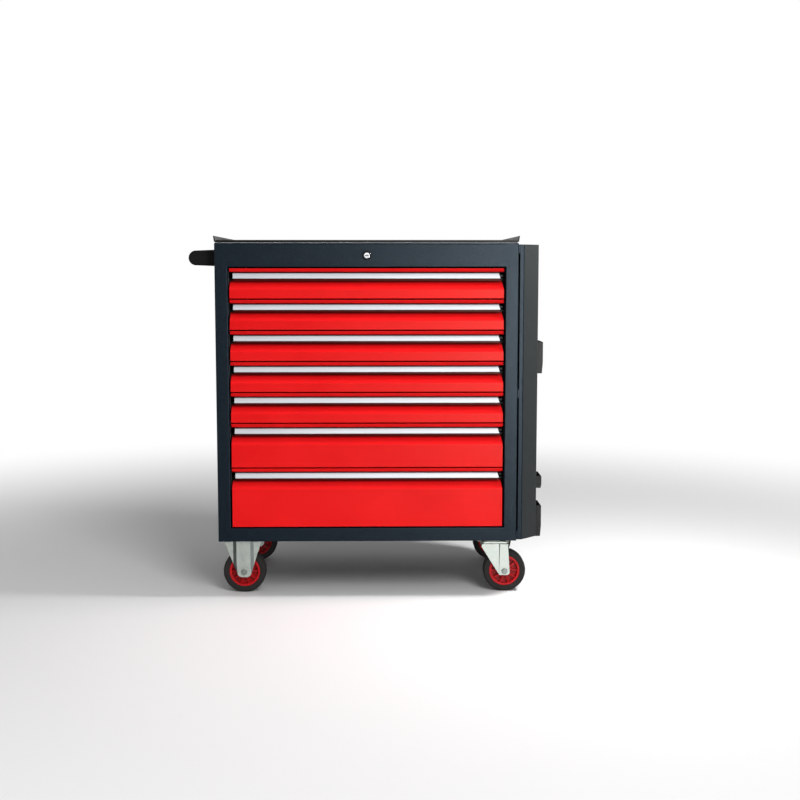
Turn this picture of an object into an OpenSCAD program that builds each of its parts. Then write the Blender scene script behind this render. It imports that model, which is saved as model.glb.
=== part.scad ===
// Rolling tool cabinet with seven drawers on telescopic runners, a lock that
// holds every drawer, a side push handle, a side tool panel and four castors.
// +Z is up, the drawers face -Y, and the origin is on the floor below the middle.

/* [Cabinet body] */
// Width of the steel body
body_w = 690; // [600:5:900]
// Depth of the steel body
body_d = 460; // [440:5:600]
// Thickness of the body's sheet steel
sheet = 1.2; // [0.8:0.1:1.6]
// Width of the stile on each side of the drawers
stile_w = 29.5; // [26:0.5:45]
// Depth of the fold behind stiles and rails
fold = 15; // [10:1:18]
// Height of the rail over the drawers
top_rail_h = 52.5; // [48:0.5:80]
// Height of the rail under the drawers
bottom_rail_h = 31.5; // [25:0.5:60]

/* [Worktop] */
// Thickness of the board under the tray
board_t = 2.7; // [2:0.1:8]
// Thickness of the tray's floor
tray_floor = 2.4; // [1.5:0.1:3]
// Height of the tray's front lip
tray_lip = 5.8; // [4:0.1:12]
// Height of the tray's side and back rims
tray_rim = 15; // [12:0.5:40]
// Thickness of the tray's rims
rim_t = 4; // [3:0.5:8]
// Outward lean of the side rims
rim_lean = 2; // [0:0.5:5]

/* [Drawers] */
// Number of shallow drawers
shallow_n = 5; // [3:1:6]
// Height of a shallow drawer front
shallow_h = 68; // [66:0.5:90]
// Height of the medium drawer front
medium_h = 100.5; // [80:0.5:140]
// Height of the deep drawer front
deep_h = 136; // [100:0.5:200]
// Gap over and under each drawer front
drawer_gap = 3; // [2:0.5:5]
// Gap beside each drawer front
side_gap = 4; // [2:0.5:6]
// Thickness of the drawers' sheet steel
drawer_t = 1; // [0.8:0.1:1.5]
// Depth of a drawer box behind its front
box_d = 400; // [380:5:420]
// Height of the flat lip at the top of a drawer front
lip_h = 9.5; // [8:0.5:14]
// Depth of the finger recess
recess_d = 16; // [14:0.5:18]
// Height of the upright wall at the back of the finger recess
recess_h = 18.5; // [16:0.5:20]
// Height of the slope below the finger recess
slope_h = 21.5; // [16:0.5:24]
// Set-back of the slope's upper corners from the drawer front's ends
slope_taper = 3.5; // [1:0.5:4]
// Height of an aluminium grip strip
grip_h = 14.5; // [12:0.5:16]
// Thickness of a grip strip
grip_t = 2; // [1.5:0.1:3]
// Inset of a grip strip from the drawer front's ends
grip_inset = 7.5; // [4:0.5:20]
// Distance from a box's floor to its front's lower edge
box_lift = 4; // [3:0.5:8]
// Distance from a box's rim to its front's upper edge
box_drop = 13; // [13:0.5:16]

/* [Runners] */
// Height of a runner
runner_h = 35; // [30:1:36]
// Thickness of a closed runner
runner_t = 12.7; // [12:0.1:14]
// Wall of the runner members
runner_wall = 1.2; // [1:0.1:1.5]
// Running gap between runner members
runner_gap = 0.4; // [0.3:0.05:0.6]
// Distance of a runner's ends from the box's front and back
runner_inset = 2; // [1:0.5:20]
// Gap between a runner and the stile's fold
runner_clear = 0.8; // [0.5:0.1:3]
// Width of a runner post
post_w = 30; // [25:1:40]
// Distance of the rear posts from the body's back
post_back = 50; // [45:1:70]

/* [Lock] */
// Diameter of the lock's bezel
bezel_dia = 20.5; // [19:0.5:26]
// Thickness of the bezel
bezel_t = 2.6; // [2:0.1:5]
// Diameter of the lock's plug
plug_dia = 14; // [12:0.5:16]
// Diameter of the plug's shaft
plug_shaft = 11; // [9:0.5:11.5]
// Radius of the lock pin's path
pin_r = 7.07; // [6:0.01:8]
// Diameter of the lock pin
pin_dia = 4; // [3:0.5:5]
// Running clearance round shafts and axles
run_fit = 0.05; // [0.02:0.01:0.1]
// Thickness of the lock bar
bar_t = 2; // [1.5:0.5:3]
// Width of the lock bar
bar_w = 14; // [10:1:16]
// Height of a lock tongue
tongue_h = 3; // [2:0.5:4]
// Distance of a raised tongue from its drawer's upper edge
tongue_drop = 8; // [7:0.5:9]

/* [Push handle] */
// Reach of the push handle
handle_reach = 66; // [55:1:90]
// Height of a handle bracket at its round end
handle_h = 34; // [30:1:44]
// Thickness of a handle bracket
bracket_t = 22; // [18:1:30]
// Diameter of the handle's bar
handle_bar_dia = 25; // [20:1:28]
// Depth of the bar's socket in each bracket
socket_d = 15; // [10:1:17]
// Distance of each bracket from the body's front and back
handle_inset = 65; // [40:5:120]
// Distance of the handle's middle from the body's top
handle_drop = 31.5; // [25:0.5:80]
// Diameter of the handle's screws
screw_dia = 6; // [5:0.5:8]
// Distance between a bracket's two screws
screw_gap = 18; // [14:1:20]
// Depth of a screw in its bracket
screw_l = 13; // [8:1:16]

/* [Side panel] */
// Distance of the panel's face from the body
panel_out = 50; // [40:1:70]
// Width of the panel's front strip
panel_strip = 12; // [8:0.5:20]
// Gap between the strip and the body
panel_slot = 3; // [2:0.5:5]
// Distance of the panel's upper edge from the body's top
panel_drop = 1.5; // [1:0.5:20]
// Distance of the panel's lower edge from the body's bottom
panel_rise = 3; // [2:0.5:20]
// Distance of the panel's rear edge from the body's back
panel_back = 20; // [10:1:40]
// Thickness of the panel's sheet
panel_t = 1.5; // [1:0.1:2]
// Size of the panel's square hook holes
hole = 10; // [8:0.5:12]
// Distance between hook holes
hole_pitch = 35; // [30:1:40]
// Distance of the top row of holes from the panel's upper edge
hole_margin = 24; // [12:1:40]
// Outward size of a tool holder
holder_out = 13; // [10:0.5:40]
// Wall of a tool holder
holder_t = 1.2; // [1:0.1:2]
// Height of the two tall holders
holder_tall = 73; // [50:1:74]
// Height of the low holder
holder_low = 28; // [24:1:40]
// Distance of the holders' front wall from the body's front
holder_back = 45; // [42:1:120]

/* [Castors] */
// Diameter of a wheel
wheel_dia = 100; // [90:1:108]
// Width of a tyre
tyre_w = 30; // [26:1:34]
// Thickness of a tyre's rubber
tyre_t = 14; // [10:1:18]
// Height of a castor from floor to body
castor_h = 133; // [130:1:150]
// Distance of the castors from the body's sides
castor_side = 50; // [50:1:80]
// Distance of the castors from the body's front and back
castor_end = 67.5; // [60:0.5:90]
// Width of a castor's top plate
plate_w = 92; // [88:1:98]
// Length of a castor's top plate
plate_l = 76; // [74:1:90]
// Thickness of a castor's top plate
plate_t = 3; // [2.5:0.5:5]
// Thickness of a fork leg
leg_t = 2.5; // [2:0.5:4]
// Rise of the pressed strip down a fork leg
press_t = 1.6; // [1:0.1:3]
// Gap between a wheel hub and the fork legs
hub_gap = 0.5; // [0.3:0.1:2]
// Distance of a fixed castor's axle from the middle of its plate
axle_offset = 4; // [0:0.5:6]
// Distance of a swivel castor's axle from its kingpin
trail = 28.5; // [24:0.5:35]
// Diameter of an axle
axle_dia = 10; // [8:0.5:12]
// Diameter of a castor bolt
bolt_dia = 8; // [6:0.5:10]
// Number of ribs in a wheel hub
rib_n = 10; // [6:1:14]

/* [Hidden] */
$fn = 64;
drawer_h = concat([for (i = [1 : shallow_n]) shallow_h], [medium_h, deep_h]);
drawer_n = len(drawer_h);

// Sums of the drawer list down to, but not including, drawer i.
function above(i) = i <= 1 ? 0 : above(i - 1) + drawer_h[i - 2] + drawer_gap;

// Planes of the body
half_w = body_w / 2;
front_y = -body_d / 2;
back_y = body_d / 2;
base_z = castor_h;
opening_z = base_z + bottom_rail_h;
rail_z = opening_z + drawer_gap + above(drawer_n + 1);
top_z = rail_z + top_rail_h;
opening_x = half_w - stile_w;
inner_x = half_w - sheet;

// Planes of the drawers and runners
front_x = opening_x - side_gap;
front_d = recess_d + drawer_t;
mount_x = opening_x - runner_clear;
box_x = mount_x - runner_t;
seat_gap = 0.1;
box_y = front_y + front_d;
runner_y = box_y + runner_inset;
runner_l = box_d - 2 * runner_inset;
function drawer_top(i) = rail_z - drawer_gap - above(i);
function drawer_bottom(i) = drawer_top(i) - drawer_h[i - 1];
function runner_z(i) = drawer_top(i) - box_drop - 10 - runner_h / 2;

// Lock, with the plug's pin turning from 45 degrees over level to 45 under it
lock_z = top_z - top_rail_h / 2;
pin_rise = pin_r * sin(45);
bar_y = box_y + 0.5;
bar_x = opening_x + 5;
post_y = bar_y + bar_t;
pin_slot = 0.35;
body_shaft = (plug_dia + bezel_dia) / 2;
cam_t = 2;
cam_y = bar_y - cam_t - 0.5;
lock_key_w = 8;
lock_key_h = 1.8;

// Castor planes, with the axle at the wheel's radius over the floor
axle_z = wheel_dia / 2;
castor_x = half_w - castor_side;
castor_y = body_d / 2 - castor_end;
hub_r = axle_z - tyre_t;
hub_w = tyre_w + 4;
leg_y = hub_w / 2 + hub_gap;
plate_z = castor_h - plate_t;
race_h = 9;
race_dia = 60;
race_taper = 8;
crown_h = 6;
crown_gap = 0.4;
crown_z = plate_z - race_h - crown_gap - crown_h;
kingpin_dia = 12;
bolt_x = plate_w / 2 - 13;
bolt_y = plate_l / 2 - 9;
bolt_head = 1.7 * bolt_dia;
nut_h = 0.8 * bolt_dia;
base_t = 1.5;

// Handle and side panel
handle_x = -half_w - handle_reach + handle_h / 2;
handle_z = top_z - handle_drop;
handle_y = body_d / 2 - handle_inset;
panel_x = half_w + panel_out;
panel_bevel = panel_out - panel_strip;
panel_z0 = base_z + panel_rise;
panel_z1 = top_z - panel_drop;
panel_y1 = back_y - panel_back;
holder_l = 2 * hole_pitch;
holder_y = front_y + holder_back;
hook = hole - 2;
hole_z = panel_z1 - hole_margin;
hole_y = holder_y + (holder_l - hole_pitch) / 2;
hole_rows = floor((hole_z - panel_z0 - hole) / hole_pitch);
hole_front = floor((hole_y - front_y - panel_bevel - hole) / hole_pitch);
hole_rear = floor((panel_y1 - panel_bevel - hole - hole_y) / hole_pitch);
function hole_row(n) = hole_z - n * hole_pitch;

// The origin lies below the middle of the whole outline
shift_x = -((panel_x + holder_out) - (half_w + handle_reach)) / 2;
shift_y = bezel_t / 2;
module placed() {
    translate([shift_x, shift_y, 0]) children();
}

// Outline of a sheet bent along a path, with its thickness to the path's left
function unit(v) = v / norm(v);
function left_of(v) = [-v[1], v[0]];
function side_at(p, i) = left_of(unit(p[i + 1] - p[i]));
function corner(p, i, t) =
    let (n = len(p) - 1, a = side_at(p, max(i - 1, 0)), b = side_at(p, min(i, n - 1)))
    p[i] + t * (a + b) / (1 + a * b);
function bent(p, t) = concat(p, [for (i = [len(p) - 1 : -1 : 0]) corner(p, i, t)]);

// Solid along X from a [Y, Z] outline, and along Y from an [X, Z] outline
module along_x(x0, x1) {
    translate([x0, 0, 0]) rotate([90, 0, 90]) linear_extrude(x1 - x0) children();
}
module along_y(y0, y1) {
    translate([0, y1, 0]) rotate([90, 0, 0]) linear_extrude(y1 - y0) children();
}
module rod_y(r, y0, y1) {
    translate([0, y0, 0]) rotate([-90, 0, 0]) cylinder(r = r, h = y1 - y0);
}
module rod_x(r, x0, x1) {
    translate([x0, 0, 0]) rotate([0, 90, 0]) cylinder(r = r, h = x1 - x0);
}
// A piece on the right of the body and its mirror image on the left
module both_sides() {
    children();
    mirror([1, 0, 0]) children();
}

// Side panel of one sheet, folded round the front into the stile
module side_sheet() {
    path = [[half_w, back_y], [half_w, front_y], [opening_x, front_y], [opening_x, front_y + fold]];
    translate([0, 0, base_z]) linear_extrude(top_z - base_z) polygon(bent(path, -sheet));
}
module right_side_panel() {
    color("#2b333c") placed() side_sheet();
}
module left_side_panel() {
    color("#2b333c") placed() difference() {
        mirror([1, 0, 0]) side_sheet();
        for (y = [-handle_y, handle_y], z = [-1, 1])
            translate([0, y, handle_z + z * screw_gap / 2])
                rod_x(screw_dia / 2 + 0.2, -half_w - 1, -inner_x + 1);
    }
}

// Back wall, with four shallow stiffening beads pressed inward
module back_panel() {
    bead_w = 24;
    bead_t = 3;
    bead = [[-bead_w / 2, 0], [-bead_w / 4, bead_t], [bead_w / 4, bead_t], [bead_w / 2, 0]];
    height = top_z - sheet - base_z - base_t;
    color("#2b333c") placed() {
        translate([-inner_x, back_y - sheet, base_z + base_t])
            cube([2 * inner_x, sheet, height]);
        for (x = [-3, -1, 1, 3])
            translate([x * body_w / 8, back_y - sheet, base_z + base_t + height / 10])
                mirror([0, 1, 0]) linear_extrude(height * 0.8) polygon(bead);
    }
}

// Base pan, with the bottom rail bent up from its front
module base_pan() {
    rail = [[front_y + fold + 1, base_z], [front_y, base_z], [front_y, opening_z],
            [front_y + fold, opening_z]];
    color("#2b333c") placed() difference() {
        union() {
            along_x(-opening_x, opening_x) polygon(bent(rail, -sheet));
            translate([-inner_x, front_y + fold, base_z])
                cube([2 * inner_x, body_d - fold, base_t]);
        }
        castor_bolt_places() translate([0, 0, base_z - 1]) cylinder(d = bolt_dia + 0.4, h = base_t + 2);
    }
}

// Top cover, with the top rail bent down from its front
module top_cover() {
    rail = [[front_y + fold + 1, top_z], [front_y, top_z], [front_y, rail_z],
            [front_y + fold, rail_z]];
    color("#2b333c") placed() difference() {
        union() {
            along_x(-opening_x, opening_x) polygon(bent(rail, sheet));
            translate([-inner_x, front_y + fold, top_z - sheet])
                cube([2 * inner_x, body_d - fold, sheet]);
        }
        translate([0, 0, lock_z]) rod_y(body_shaft / 2 + 0.2, front_y - 1, front_y + fold);
    }
}

// Board whose light edge shows under the tray
module worktop_board() {
    color("#9a9c9e") placed()
        translate([-half_w, front_y, top_z]) cube([body_w, body_d, board_t]);
}

// Moulded tray with a low front lip, leaning side rims and a back rim
module worktop_tray() {
    z0 = top_z + board_t;
    side = [[half_w - rim_t, 0], [half_w, 0], [half_w + rim_lean, tray_rim],
            [half_w + rim_lean - rim_t / 2, tray_rim], [half_w - rim_t, tray_floor]];
    lip = [[front_y, 0], [front_y + rim_t, 0], [front_y + rim_t, tray_floor],
           [front_y + rim_t / 2, tray_lip], [front_y, tray_lip]];
    rear = [[back_y - rim_t, 0], [back_y, 0], [back_y, tray_rim],
            [back_y - rim_t / 2, tray_rim], [back_y - rim_t, tray_floor]];
    color("#17181a") placed() translate([0, 0, z0]) {
        translate([-half_w, front_y, 0]) cube([body_w, body_d, tray_floor]);
        along_x(-half_w, half_w) polygon(lip);
        along_x(-half_w, half_w) polygon(rear);
        both_sides() along_y(front_y, back_y) polygon(side);
    }
}

// Perforated panel that stands off the right side, bevelled front and rear
module side_tool_panel() {
    edge = half_w + panel_strip;
    outline = [[half_w + panel_slot, front_y], [edge, front_y], [panel_x, front_y + panel_bevel],
               [panel_x, panel_y1 - panel_bevel], [edge, panel_y1], [half_w, panel_y1]];
    cap = concat([[half_w, front_y + fold]], [[half_w + panel_slot, front_y + panel_t]],
                 [for (i = [1 : 5]) corner(outline, i, panel_t / 2)]);
    tab_h = 20;
    tabs = [panel_z0, (panel_z0 + panel_z1 - tab_h) / 2, panel_z1 - tab_h];
    color("#3a3d40") placed() difference() {
        union() {
            translate([0, 0, panel_z0]) linear_extrude(panel_z1 - panel_z0) polygon(bent(outline, panel_t));
            for (z = [panel_z0, panel_z1 - panel_t])
                translate([0, 0, z]) linear_extrude(panel_t) polygon(cap);
            for (z = tabs)
                translate([half_w, front_y, z]) cube([panel_slot + 1, panel_t, tab_h]);
        }
        for (r = [0 : hole_rows], c = [-hole_front : hole_rear])
            translate([panel_x - panel_t - 1, hole_y + c * hole_pitch - hole / 2, hole_row(r) - hole / 2])
                cube([panel_t + 2, hole, hole]);
    }
}

// Folded open-topped holder, hung by two hooks in the panel's holes
module tool_holder(row, height) {
    z1 = hole_row(row) + hole;
    z0 = z1 - height;
    foot = holder_out * 0.85;
    wall = [[0, z1], [0, z0], [foot, z0], [holder_out, z0 + height / 3], [holder_out, z1]];
    room = [[holder_t, z1 + 1], [holder_t, z0 + holder_t], [foot - holder_t / 2, z0 + holder_t],
            [holder_out - holder_t, z0 + height / 3], [holder_out - holder_t, z1 + 1]];
    translate([panel_x, holder_y, 0]) {
        difference() {
            along_y(0, holder_l) polygon(wall);
            along_y(holder_t, holder_l - holder_t) polygon(room);
        }
        for (c = [-1, 1])
            translate([0, (holder_l + c * hole_pitch - hook) / 2, hole_row(row) - hole / 2]) holder_hook();
    }
}
// Hook that rests on a hole's lower edge and drops behind the sheet
module holder_hook() {
    lip = 2;
    reach = panel_t + 0.3 + lip;
    translate([-reach, 0, 0]) cube([reach + holder_t, hook, hook / 2]);
    translate([-reach, 0, -hook / 2]) cube([lip, hook, hook]);
}
module tool_holders() {
    color("#3a3d40") placed() {
        tool_holder(6, holder_tall);
        tool_holder(15, holder_low);
        tool_holder(17, holder_tall);
    }
}

// End brackets of the push handle, with a round outer end and a blind socket
module handle_brackets() {
    r = handle_h / 2;
    root = r + 2;
    color("#141416") placed() for (s = [-1, 1])
        translate([handle_x, s * handle_y, handle_z]) difference() {
            union() {
                rod_y(r, -bracket_t / 2, bracket_t / 2);
                along_y(-bracket_t / 2, bracket_t / 2)
                    polygon([[0, -r], [-handle_x - half_w, -root], [-handle_x - half_w, root], [0, r]]);
            }
            scale([1, -s, 1]) rod_y(handle_bar_dia / 2 + run_fit, bracket_t / 2 - socket_d, bracket_t);
            for (z = [-1, 1])
                translate([0, 0, z * screw_gap / 2])
                    rod_x(screw_dia / 2 + run_fit, -handle_x - half_w - screw_l - 1, -handle_x - half_w + 1);
        }
}

// Steel tube of the push handle
module handle_bar() {
    reach = handle_y - bracket_t / 2 + socket_d;
    color("#1b1c1e") placed() translate([handle_x, 0, handle_z]) difference() {
        rod_y(handle_bar_dia / 2, -reach, reach);
        rod_y(handle_bar_dia / 2 - 1.5, -reach - 1, reach + 1);
    }
}

// Pan-head screws that hold the brackets from inside the body
module handle_screws() {
    color("#b8bcc0") placed()
        for (y = [-handle_y, handle_y], z = [-1, 1])
            translate([0, y, handle_z + z * screw_gap / 2]) {
                rod_x(screw_dia / 2, -half_w - screw_l, -inner_x + 1);
                rod_x(screw_dia, -inner_x, -inner_x + screw_dia * 0.6);
            }
}

// Upright channels welded inside the sides, which carry the runners and clear the handle's screws
module runner_posts() {
    color("#6f767d") placed() difference() {
        both_sides() for (y = [post_y, back_y - post_back - post_w])
            translate([0, 0, base_z + base_t]) linear_extrude(top_z - sheet - base_z - base_t)
                polygon(bent([[inner_x, y], [mount_x, y], [mount_x, y + post_w], [inner_x, y + post_w]], -sheet));
        for (y = [-handle_y, handle_y], z = [-1, 1])
            translate([0, y, handle_z + z * screw_gap / 2])
                rod_x(screw_dia + 0.5, -inner_x - 1, -inner_x + screw_dia * 0.6 + 0.5);
    }
}

// Runner members as channels: flange positions step inward by wall and gap
function runner_half(n) = runner_h / 2 - n * (runner_wall + runner_gap);
module channel(x0, x1, half, wall) {
    along_y(runner_y, runner_y + runner_l)
        polygon(bent([[x1, half], [x0, half], [x0, -half], [x1, -half]], wall));
}
module cabinet_member() {
    channel(mount_x, box_x + 4, runner_half(0), -runner_wall);
}
module middle_member() {
    channel(mount_x - runner_wall - runner_gap, box_x + 2, runner_half(1), -runner_wall);
}
module drawer_member() {
    channel(box_x + seat_gap, mount_x - 4, runner_half(2), runner_wall);
}
module cabinet_runners() {
    color("#c3c7ca") placed() both_sides()
        for (i = [1 : drawer_n]) translate([0, 0, runner_z(i)]) cabinet_member();
}
module middle_runners(i) {
    color("#c3c7ca") placed() both_sides()
        translate([0, 0, runner_z(i)]) middle_member();
}

// Drawer front of one bent sheet: bottom fold, face, slope, finger recess and lip
function front_path(h) = [[front_d / 2, 0], [0, 0], [0, h - lip_h - recess_h - slope_h],
    [recess_d, h - lip_h - recess_h], [recess_d, h - lip_h], [0, h - lip_h], [0, h], [front_d, h]];
// with low cheeks behind the face and tapered ends beside the recess, whose wall lies on the box
module drawer_front(i) {
    h = drawer_h[i - 1];
    face_h = h - lip_h - recess_h - slope_h;
    notch = [[front_x, face_h], [front_x - slope_taper, face_h + slope_h],
             [front_x - slope_taper, h - lip_h], [front_x + 1, h - lip_h], [front_x + 1, face_h]];
    color("#d8262c") placed() translate([0, front_y, drawer_bottom(i)]) {
        difference() {
            along_x(-front_x, front_x) polygon(bent(front_path(h), -drawer_t));
            both_sides() along_y(-1, front_d + 1) polygon(notch);
        }
        both_sides() translate([front_x - drawer_t, 0, 0]) cube([drawer_t, front_d, face_h]);
    }
}

// Aluminium grip: a flange under the lip and a face whose lower edge curls back
module drawer_grip(i) {
    z1 = drawer_h[i - 1] - lip_h;
    z0 = z1 - grip_h;
    curl = 3 * grip_t;
    grip_x = front_x - grip_inset;
    slant = 2.5;
    profile = [[recess_d - 0.3, z1], [grip_t, z1], [grip_t, z1 - 1], [0, z1 - 1.4], [0, z0 + 0.6],
               [0.6, z0], [curl, z0], [curl, z0 + grip_t], [grip_t, z0 + grip_t],
               [grip_t, z1 - grip_t], [recess_d - 0.3, z1 - grip_t]];
    ends = [[-grip_x, z0], [grip_x, z0], [grip_x - slant, z1], [slant - grip_x, z1]];
    color("#d5dadf") placed() translate([0, front_y, drawer_bottom(i)]) intersection() {
        along_x(-grip_x, grip_x) polygon(profile);
        along_y(-1, recess_d) polygon(ends);
    }
}

// Folded drawer box, with its two runner members and the catch for the lock
module drawer_box(i) {
    floor_z = drawer_bottom(i) + box_lift;
    rim_z = drawer_top(i) - box_drop;
    catch_z = drawer_top(i) - tongue_drop - 2 * pin_rise - 2;
    hem = 5;
    side = [[box_x - hem, rim_z], [box_x, rim_z], [box_x, floor_z], [0, floor_z]];
    color("#c3262b") placed() {
        both_sides() along_y(box_y, box_y + box_d) polygon(bent(side, -drawer_t));
        for (y = [box_y, box_y + box_d - drawer_t])
            translate([-box_x, y, floor_z]) cube([2 * box_x, drawer_t, rim_z - floor_z]);
        translate([box_x - drawer_t, post_y + 0.5, catch_z])
            cube([opening_x - box_x - 4 + drawer_t, 5, tongue_h + 3]);
    }
    color("#c3c7ca") placed() both_sides() translate([0, 0, runner_z(i)]) drawer_member();
}

// Lock housing: bezel, threaded body and ring nut round the plug's bore
module lock_housing() {
    color("#26282b") placed() translate([0, 0, lock_z]) difference() {
        union() {
            rod_y(bezel_dia / 2, front_y - bezel_t, front_y);
            rod_y(body_shaft / 2, front_y, cam_y - 0.4);
            translate([0, front_y + sheet, 0]) rotate([-90, 0, 0]) cylinder(d = bezel_dia + 6, h = 4, $fn = 6);
        }
        rod_y(plug_shaft / 2 + run_fit, front_y - bezel_t - 1, cam_y);
        rod_y(plug_dia / 2 + run_fit, front_y - bezel_t - 1, front_y);
    }
}

// Turning plug with its keyway, cam and pin
module lock_plug() {
    color("#d7dadd") placed() translate([0, 0, lock_z]) {
        difference() {
            union() {
                rod_y(plug_dia / 2, front_y - bezel_t + 0.3, front_y);
                rod_y(plug_shaft / 2, front_y - 0.5, cam_y);
                rod_y(pin_r + pin_dia / 2 + 1.5, cam_y, cam_y + cam_t);
            }
            translate([-lock_key_w / 2, front_y - bezel_t - 1, -lock_key_h / 2])
                cube([lock_key_w, 9, lock_key_h]);
        }
        translate([pin_rise, 0, pin_rise]) rod_y(pin_dia / 2, cam_y, post_y + 1.5);
    }
}

// Lock bar: an arm from the plug to the right stile and a strip with a tongue per drawer
module lock_bar() {
    arm_z = lock_z + pin_rise;
    slot = pin_dia / 2 + pin_slot;
    slot_x = pin_r + slot;
    foot_z = drawer_top(drawer_n) - tongue_drop - 10;
    color("#b9bec3") placed() difference() {
        along_y(bar_y, bar_y + bar_t) union() {
            translate([-pin_r - 6, arm_z - bar_w / 2]) square([bar_x + bar_w + pin_r + 6, bar_w]);
            translate([bar_x, foot_z]) square([bar_w, arm_z - foot_z]);
            for (i = [1 : drawer_n])
                translate([box_x + 2.5, drawer_top(i) - tongue_drop]) square([bar_x - box_x, tongue_h]);
        }
        along_y(bar_y - 1, bar_y + bar_t + 1)
            translate([pin_rise - slot_x / 2 - 2, arm_z - slot]) square([slot_x + 4, 2 * slot]);
    }
}

// Places of castors and of their bolts
module castor_places(sides) {
    for (sx = sides, sy = [-1, 1]) translate([sx * castor_x, sy * castor_y, 0]) children();
}
module castor_bolt_places() {
    castor_places([-1, 1])
        for (bx = [-1, 1], by = [-1, 1]) translate([bx * bolt_x, by * bolt_y, 0]) children();
}
module castor_plate() {
    difference() {
        translate([-plate_w / 2, -plate_l / 2, plate_z]) cube([plate_w, plate_l, plate_t]);
        for (bx = [-1, 1], by = [-1, 1])
            translate([bx * bolt_x, by * bolt_y, plate_z - 1]) cylinder(d = bolt_dia + 0.4, h = plate_t + 2);
    }
}

// Point where the line from p touches a circle of radius r round the origin
function touch(p, r, turn) =
    let (a = atan2(p[1], p[0]) + turn * acos(r / norm(p))) r * [cos(a), sin(a)];
// Fork leg outline: from a flat top down to a round end at the axle
module leg_outline(x0, x1, top, r) {
    polygon([[x0, top], touch([x0, top], r, 1), touch([x1, top], r, -1), [x1, top]]);
    circle(r = r);
}
// Fork leg with a strip from x0s to x1s pressed outward down to its round end
module fork_leg(x0, x1, top, r, x0s, x1s) {
    difference() {
        union() {
            along_y(leg_y, leg_y + leg_t) leg_outline(x0, x1, top, r);
            along_y(leg_y + leg_t, leg_y + leg_t + press_t) intersection() {
                leg_outline(x0, x1, top, r);
                translate([x0s, -2 * r]) square([x1s - x0s, top + 2 * r]);
            }
        }
        rod_y(axle_dia / 2 + run_fit, leg_y - 1, leg_y + leg_t + press_t + 1);
    }
}
// Axle bolt with a hexagon head in front and a nut behind
module axle() {
    reach = leg_y + leg_t + press_t + seat_gap;
    rod_y(axle_dia / 2, -reach - 1, reach + axle_dia * 0.8);
    translate([0, -reach, 0]) rotate([90, 0, 0]) cylinder(d = 1.8 * axle_dia, h = axle_dia * 0.6, $fn = 6);
    translate([0, reach, 0]) rotate([-90, 0, 0]) cylinder(d = 1.8 * axle_dia, h = axle_dia * 0.7, $fn = 6);
}

// Fixed castor brackets: a plate and two tapered legs, each with a pressed strip
module fixed_castor_brackets() {
    top = plate_z - axle_z;
    half = plate_w / 2 - 3;
    end_r = 1.3 * axle_dia;
    strip = end_r - 1;
    color("#c9ced2") placed() castor_places([-1]) {
        castor_plate();
        for (s = [-1, 1]) translate([axle_offset, 0, axle_z]) scale([1, s, 1])
            fork_leg(-half - axle_offset, half - axle_offset, top, end_r, -strip, strip);
    }
}
module fixed_castor_axles() {
    color("#b4b9bd") placed() castor_places([-1]) translate([axle_offset, 0, axle_z]) axle();
}

// Swivel castor plates with the upper race and the kingpin
module swivel_castor_plates() {
    color("#c9ced2") placed() castor_places([1]) {
        castor_plate();
        translate([0, 0, plate_z - race_h]) cylinder(d1 = race_dia - race_taper, d2 = race_dia, h = race_h);
        translate([0, 0, crown_z - 4]) cylinder(d = kingpin_dia, h = plate_z - crown_z);
        translate([0, 0, crown_z - 5 - crown_gap]) cylinder(d = kingpin_dia + 8, h = 5);
    }
}

// Swivel fork: a crown under the race and two legs raked back to the axle, upright behind it
module swivel_fork(end) {
    top = crown_z - axle_z;
    end_r = 0.95 * axle_dia;
    fore = -(race_dia - race_taper) / 2;
    aft = trail + end_r;
    color("#c9ced2") placed() translate([castor_x, end * castor_y, 0]) {
        difference() {
            translate([fore, -leg_y - leg_t, crown_z]) cube([aft - fore, 2 * (leg_y + leg_t), crown_h]);
            translate([0, 0, crown_z - 1]) cylinder(r = kingpin_dia / 2 + run_fit, h = crown_h + 2);
        }
        for (s = [-1, 1]) translate([trail, 0, axle_z]) scale([1, s, 1])
            fork_leg(fore - trail, end_r, top, end_r, -end_r - 2.5, 2 * end_r);
    }
    color("#b4b9bd") placed() translate([castor_x + trail, end * castor_y, axle_z]) axle();
}

// Bolts through plate and base pan, with their nuts inside the body
module castor_bolts() {
    color("#aeb3b8") placed() castor_bolt_places() {
        translate([0, 0, plate_z - nut_h]) cylinder(d = bolt_head, h = nut_h, $fn = 6);
        translate([0, 0, plate_z - 1]) cylinder(d = bolt_dia, h = plate_t + base_t + nut_h + 3);
        translate([0, 0, base_z + base_t]) cylinder(d = bolt_head, h = nut_h, $fn = 6);
    }
}

// Wheel centres: fixed castors on the left, trailing swivel castors on the right
module at_wheel(side, end) {
    placed() translate([side * castor_x + (side > 0 ? trail : axle_offset), end * castor_y, axle_z]) children();
}
// Moulded wheel hub: rim, web, boss and radial ribs
module wheel_hub(side, end) {
    rim_r = hub_r - 5;
    boss_r = axle_dia * 1.2;
    rib_w = tyre_w - 4;
    color("#c8282e") at_wheel(side, end) difference() {
        union() {
            difference() {
                rod_y(hub_r, -tyre_w / 2 + 1, tyre_w / 2 - 1);
                rod_y(rim_r, -tyre_w, -2.5);
                rod_y(rim_r, 2.5, tyre_w);
            }
            rod_y(boss_r, -hub_w / 2, hub_w / 2);
            for (k = [0 : rib_n - 1]) rotate([0, k * 360 / rib_n, 0])
                translate([boss_r - 1, -rib_w / 2, -1.5]) cube([rim_r - boss_r + 2, rib_w, 3]);
        }
        rod_y(axle_dia / 2 + run_fit, -hub_w, hub_w);
    }
}
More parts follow.
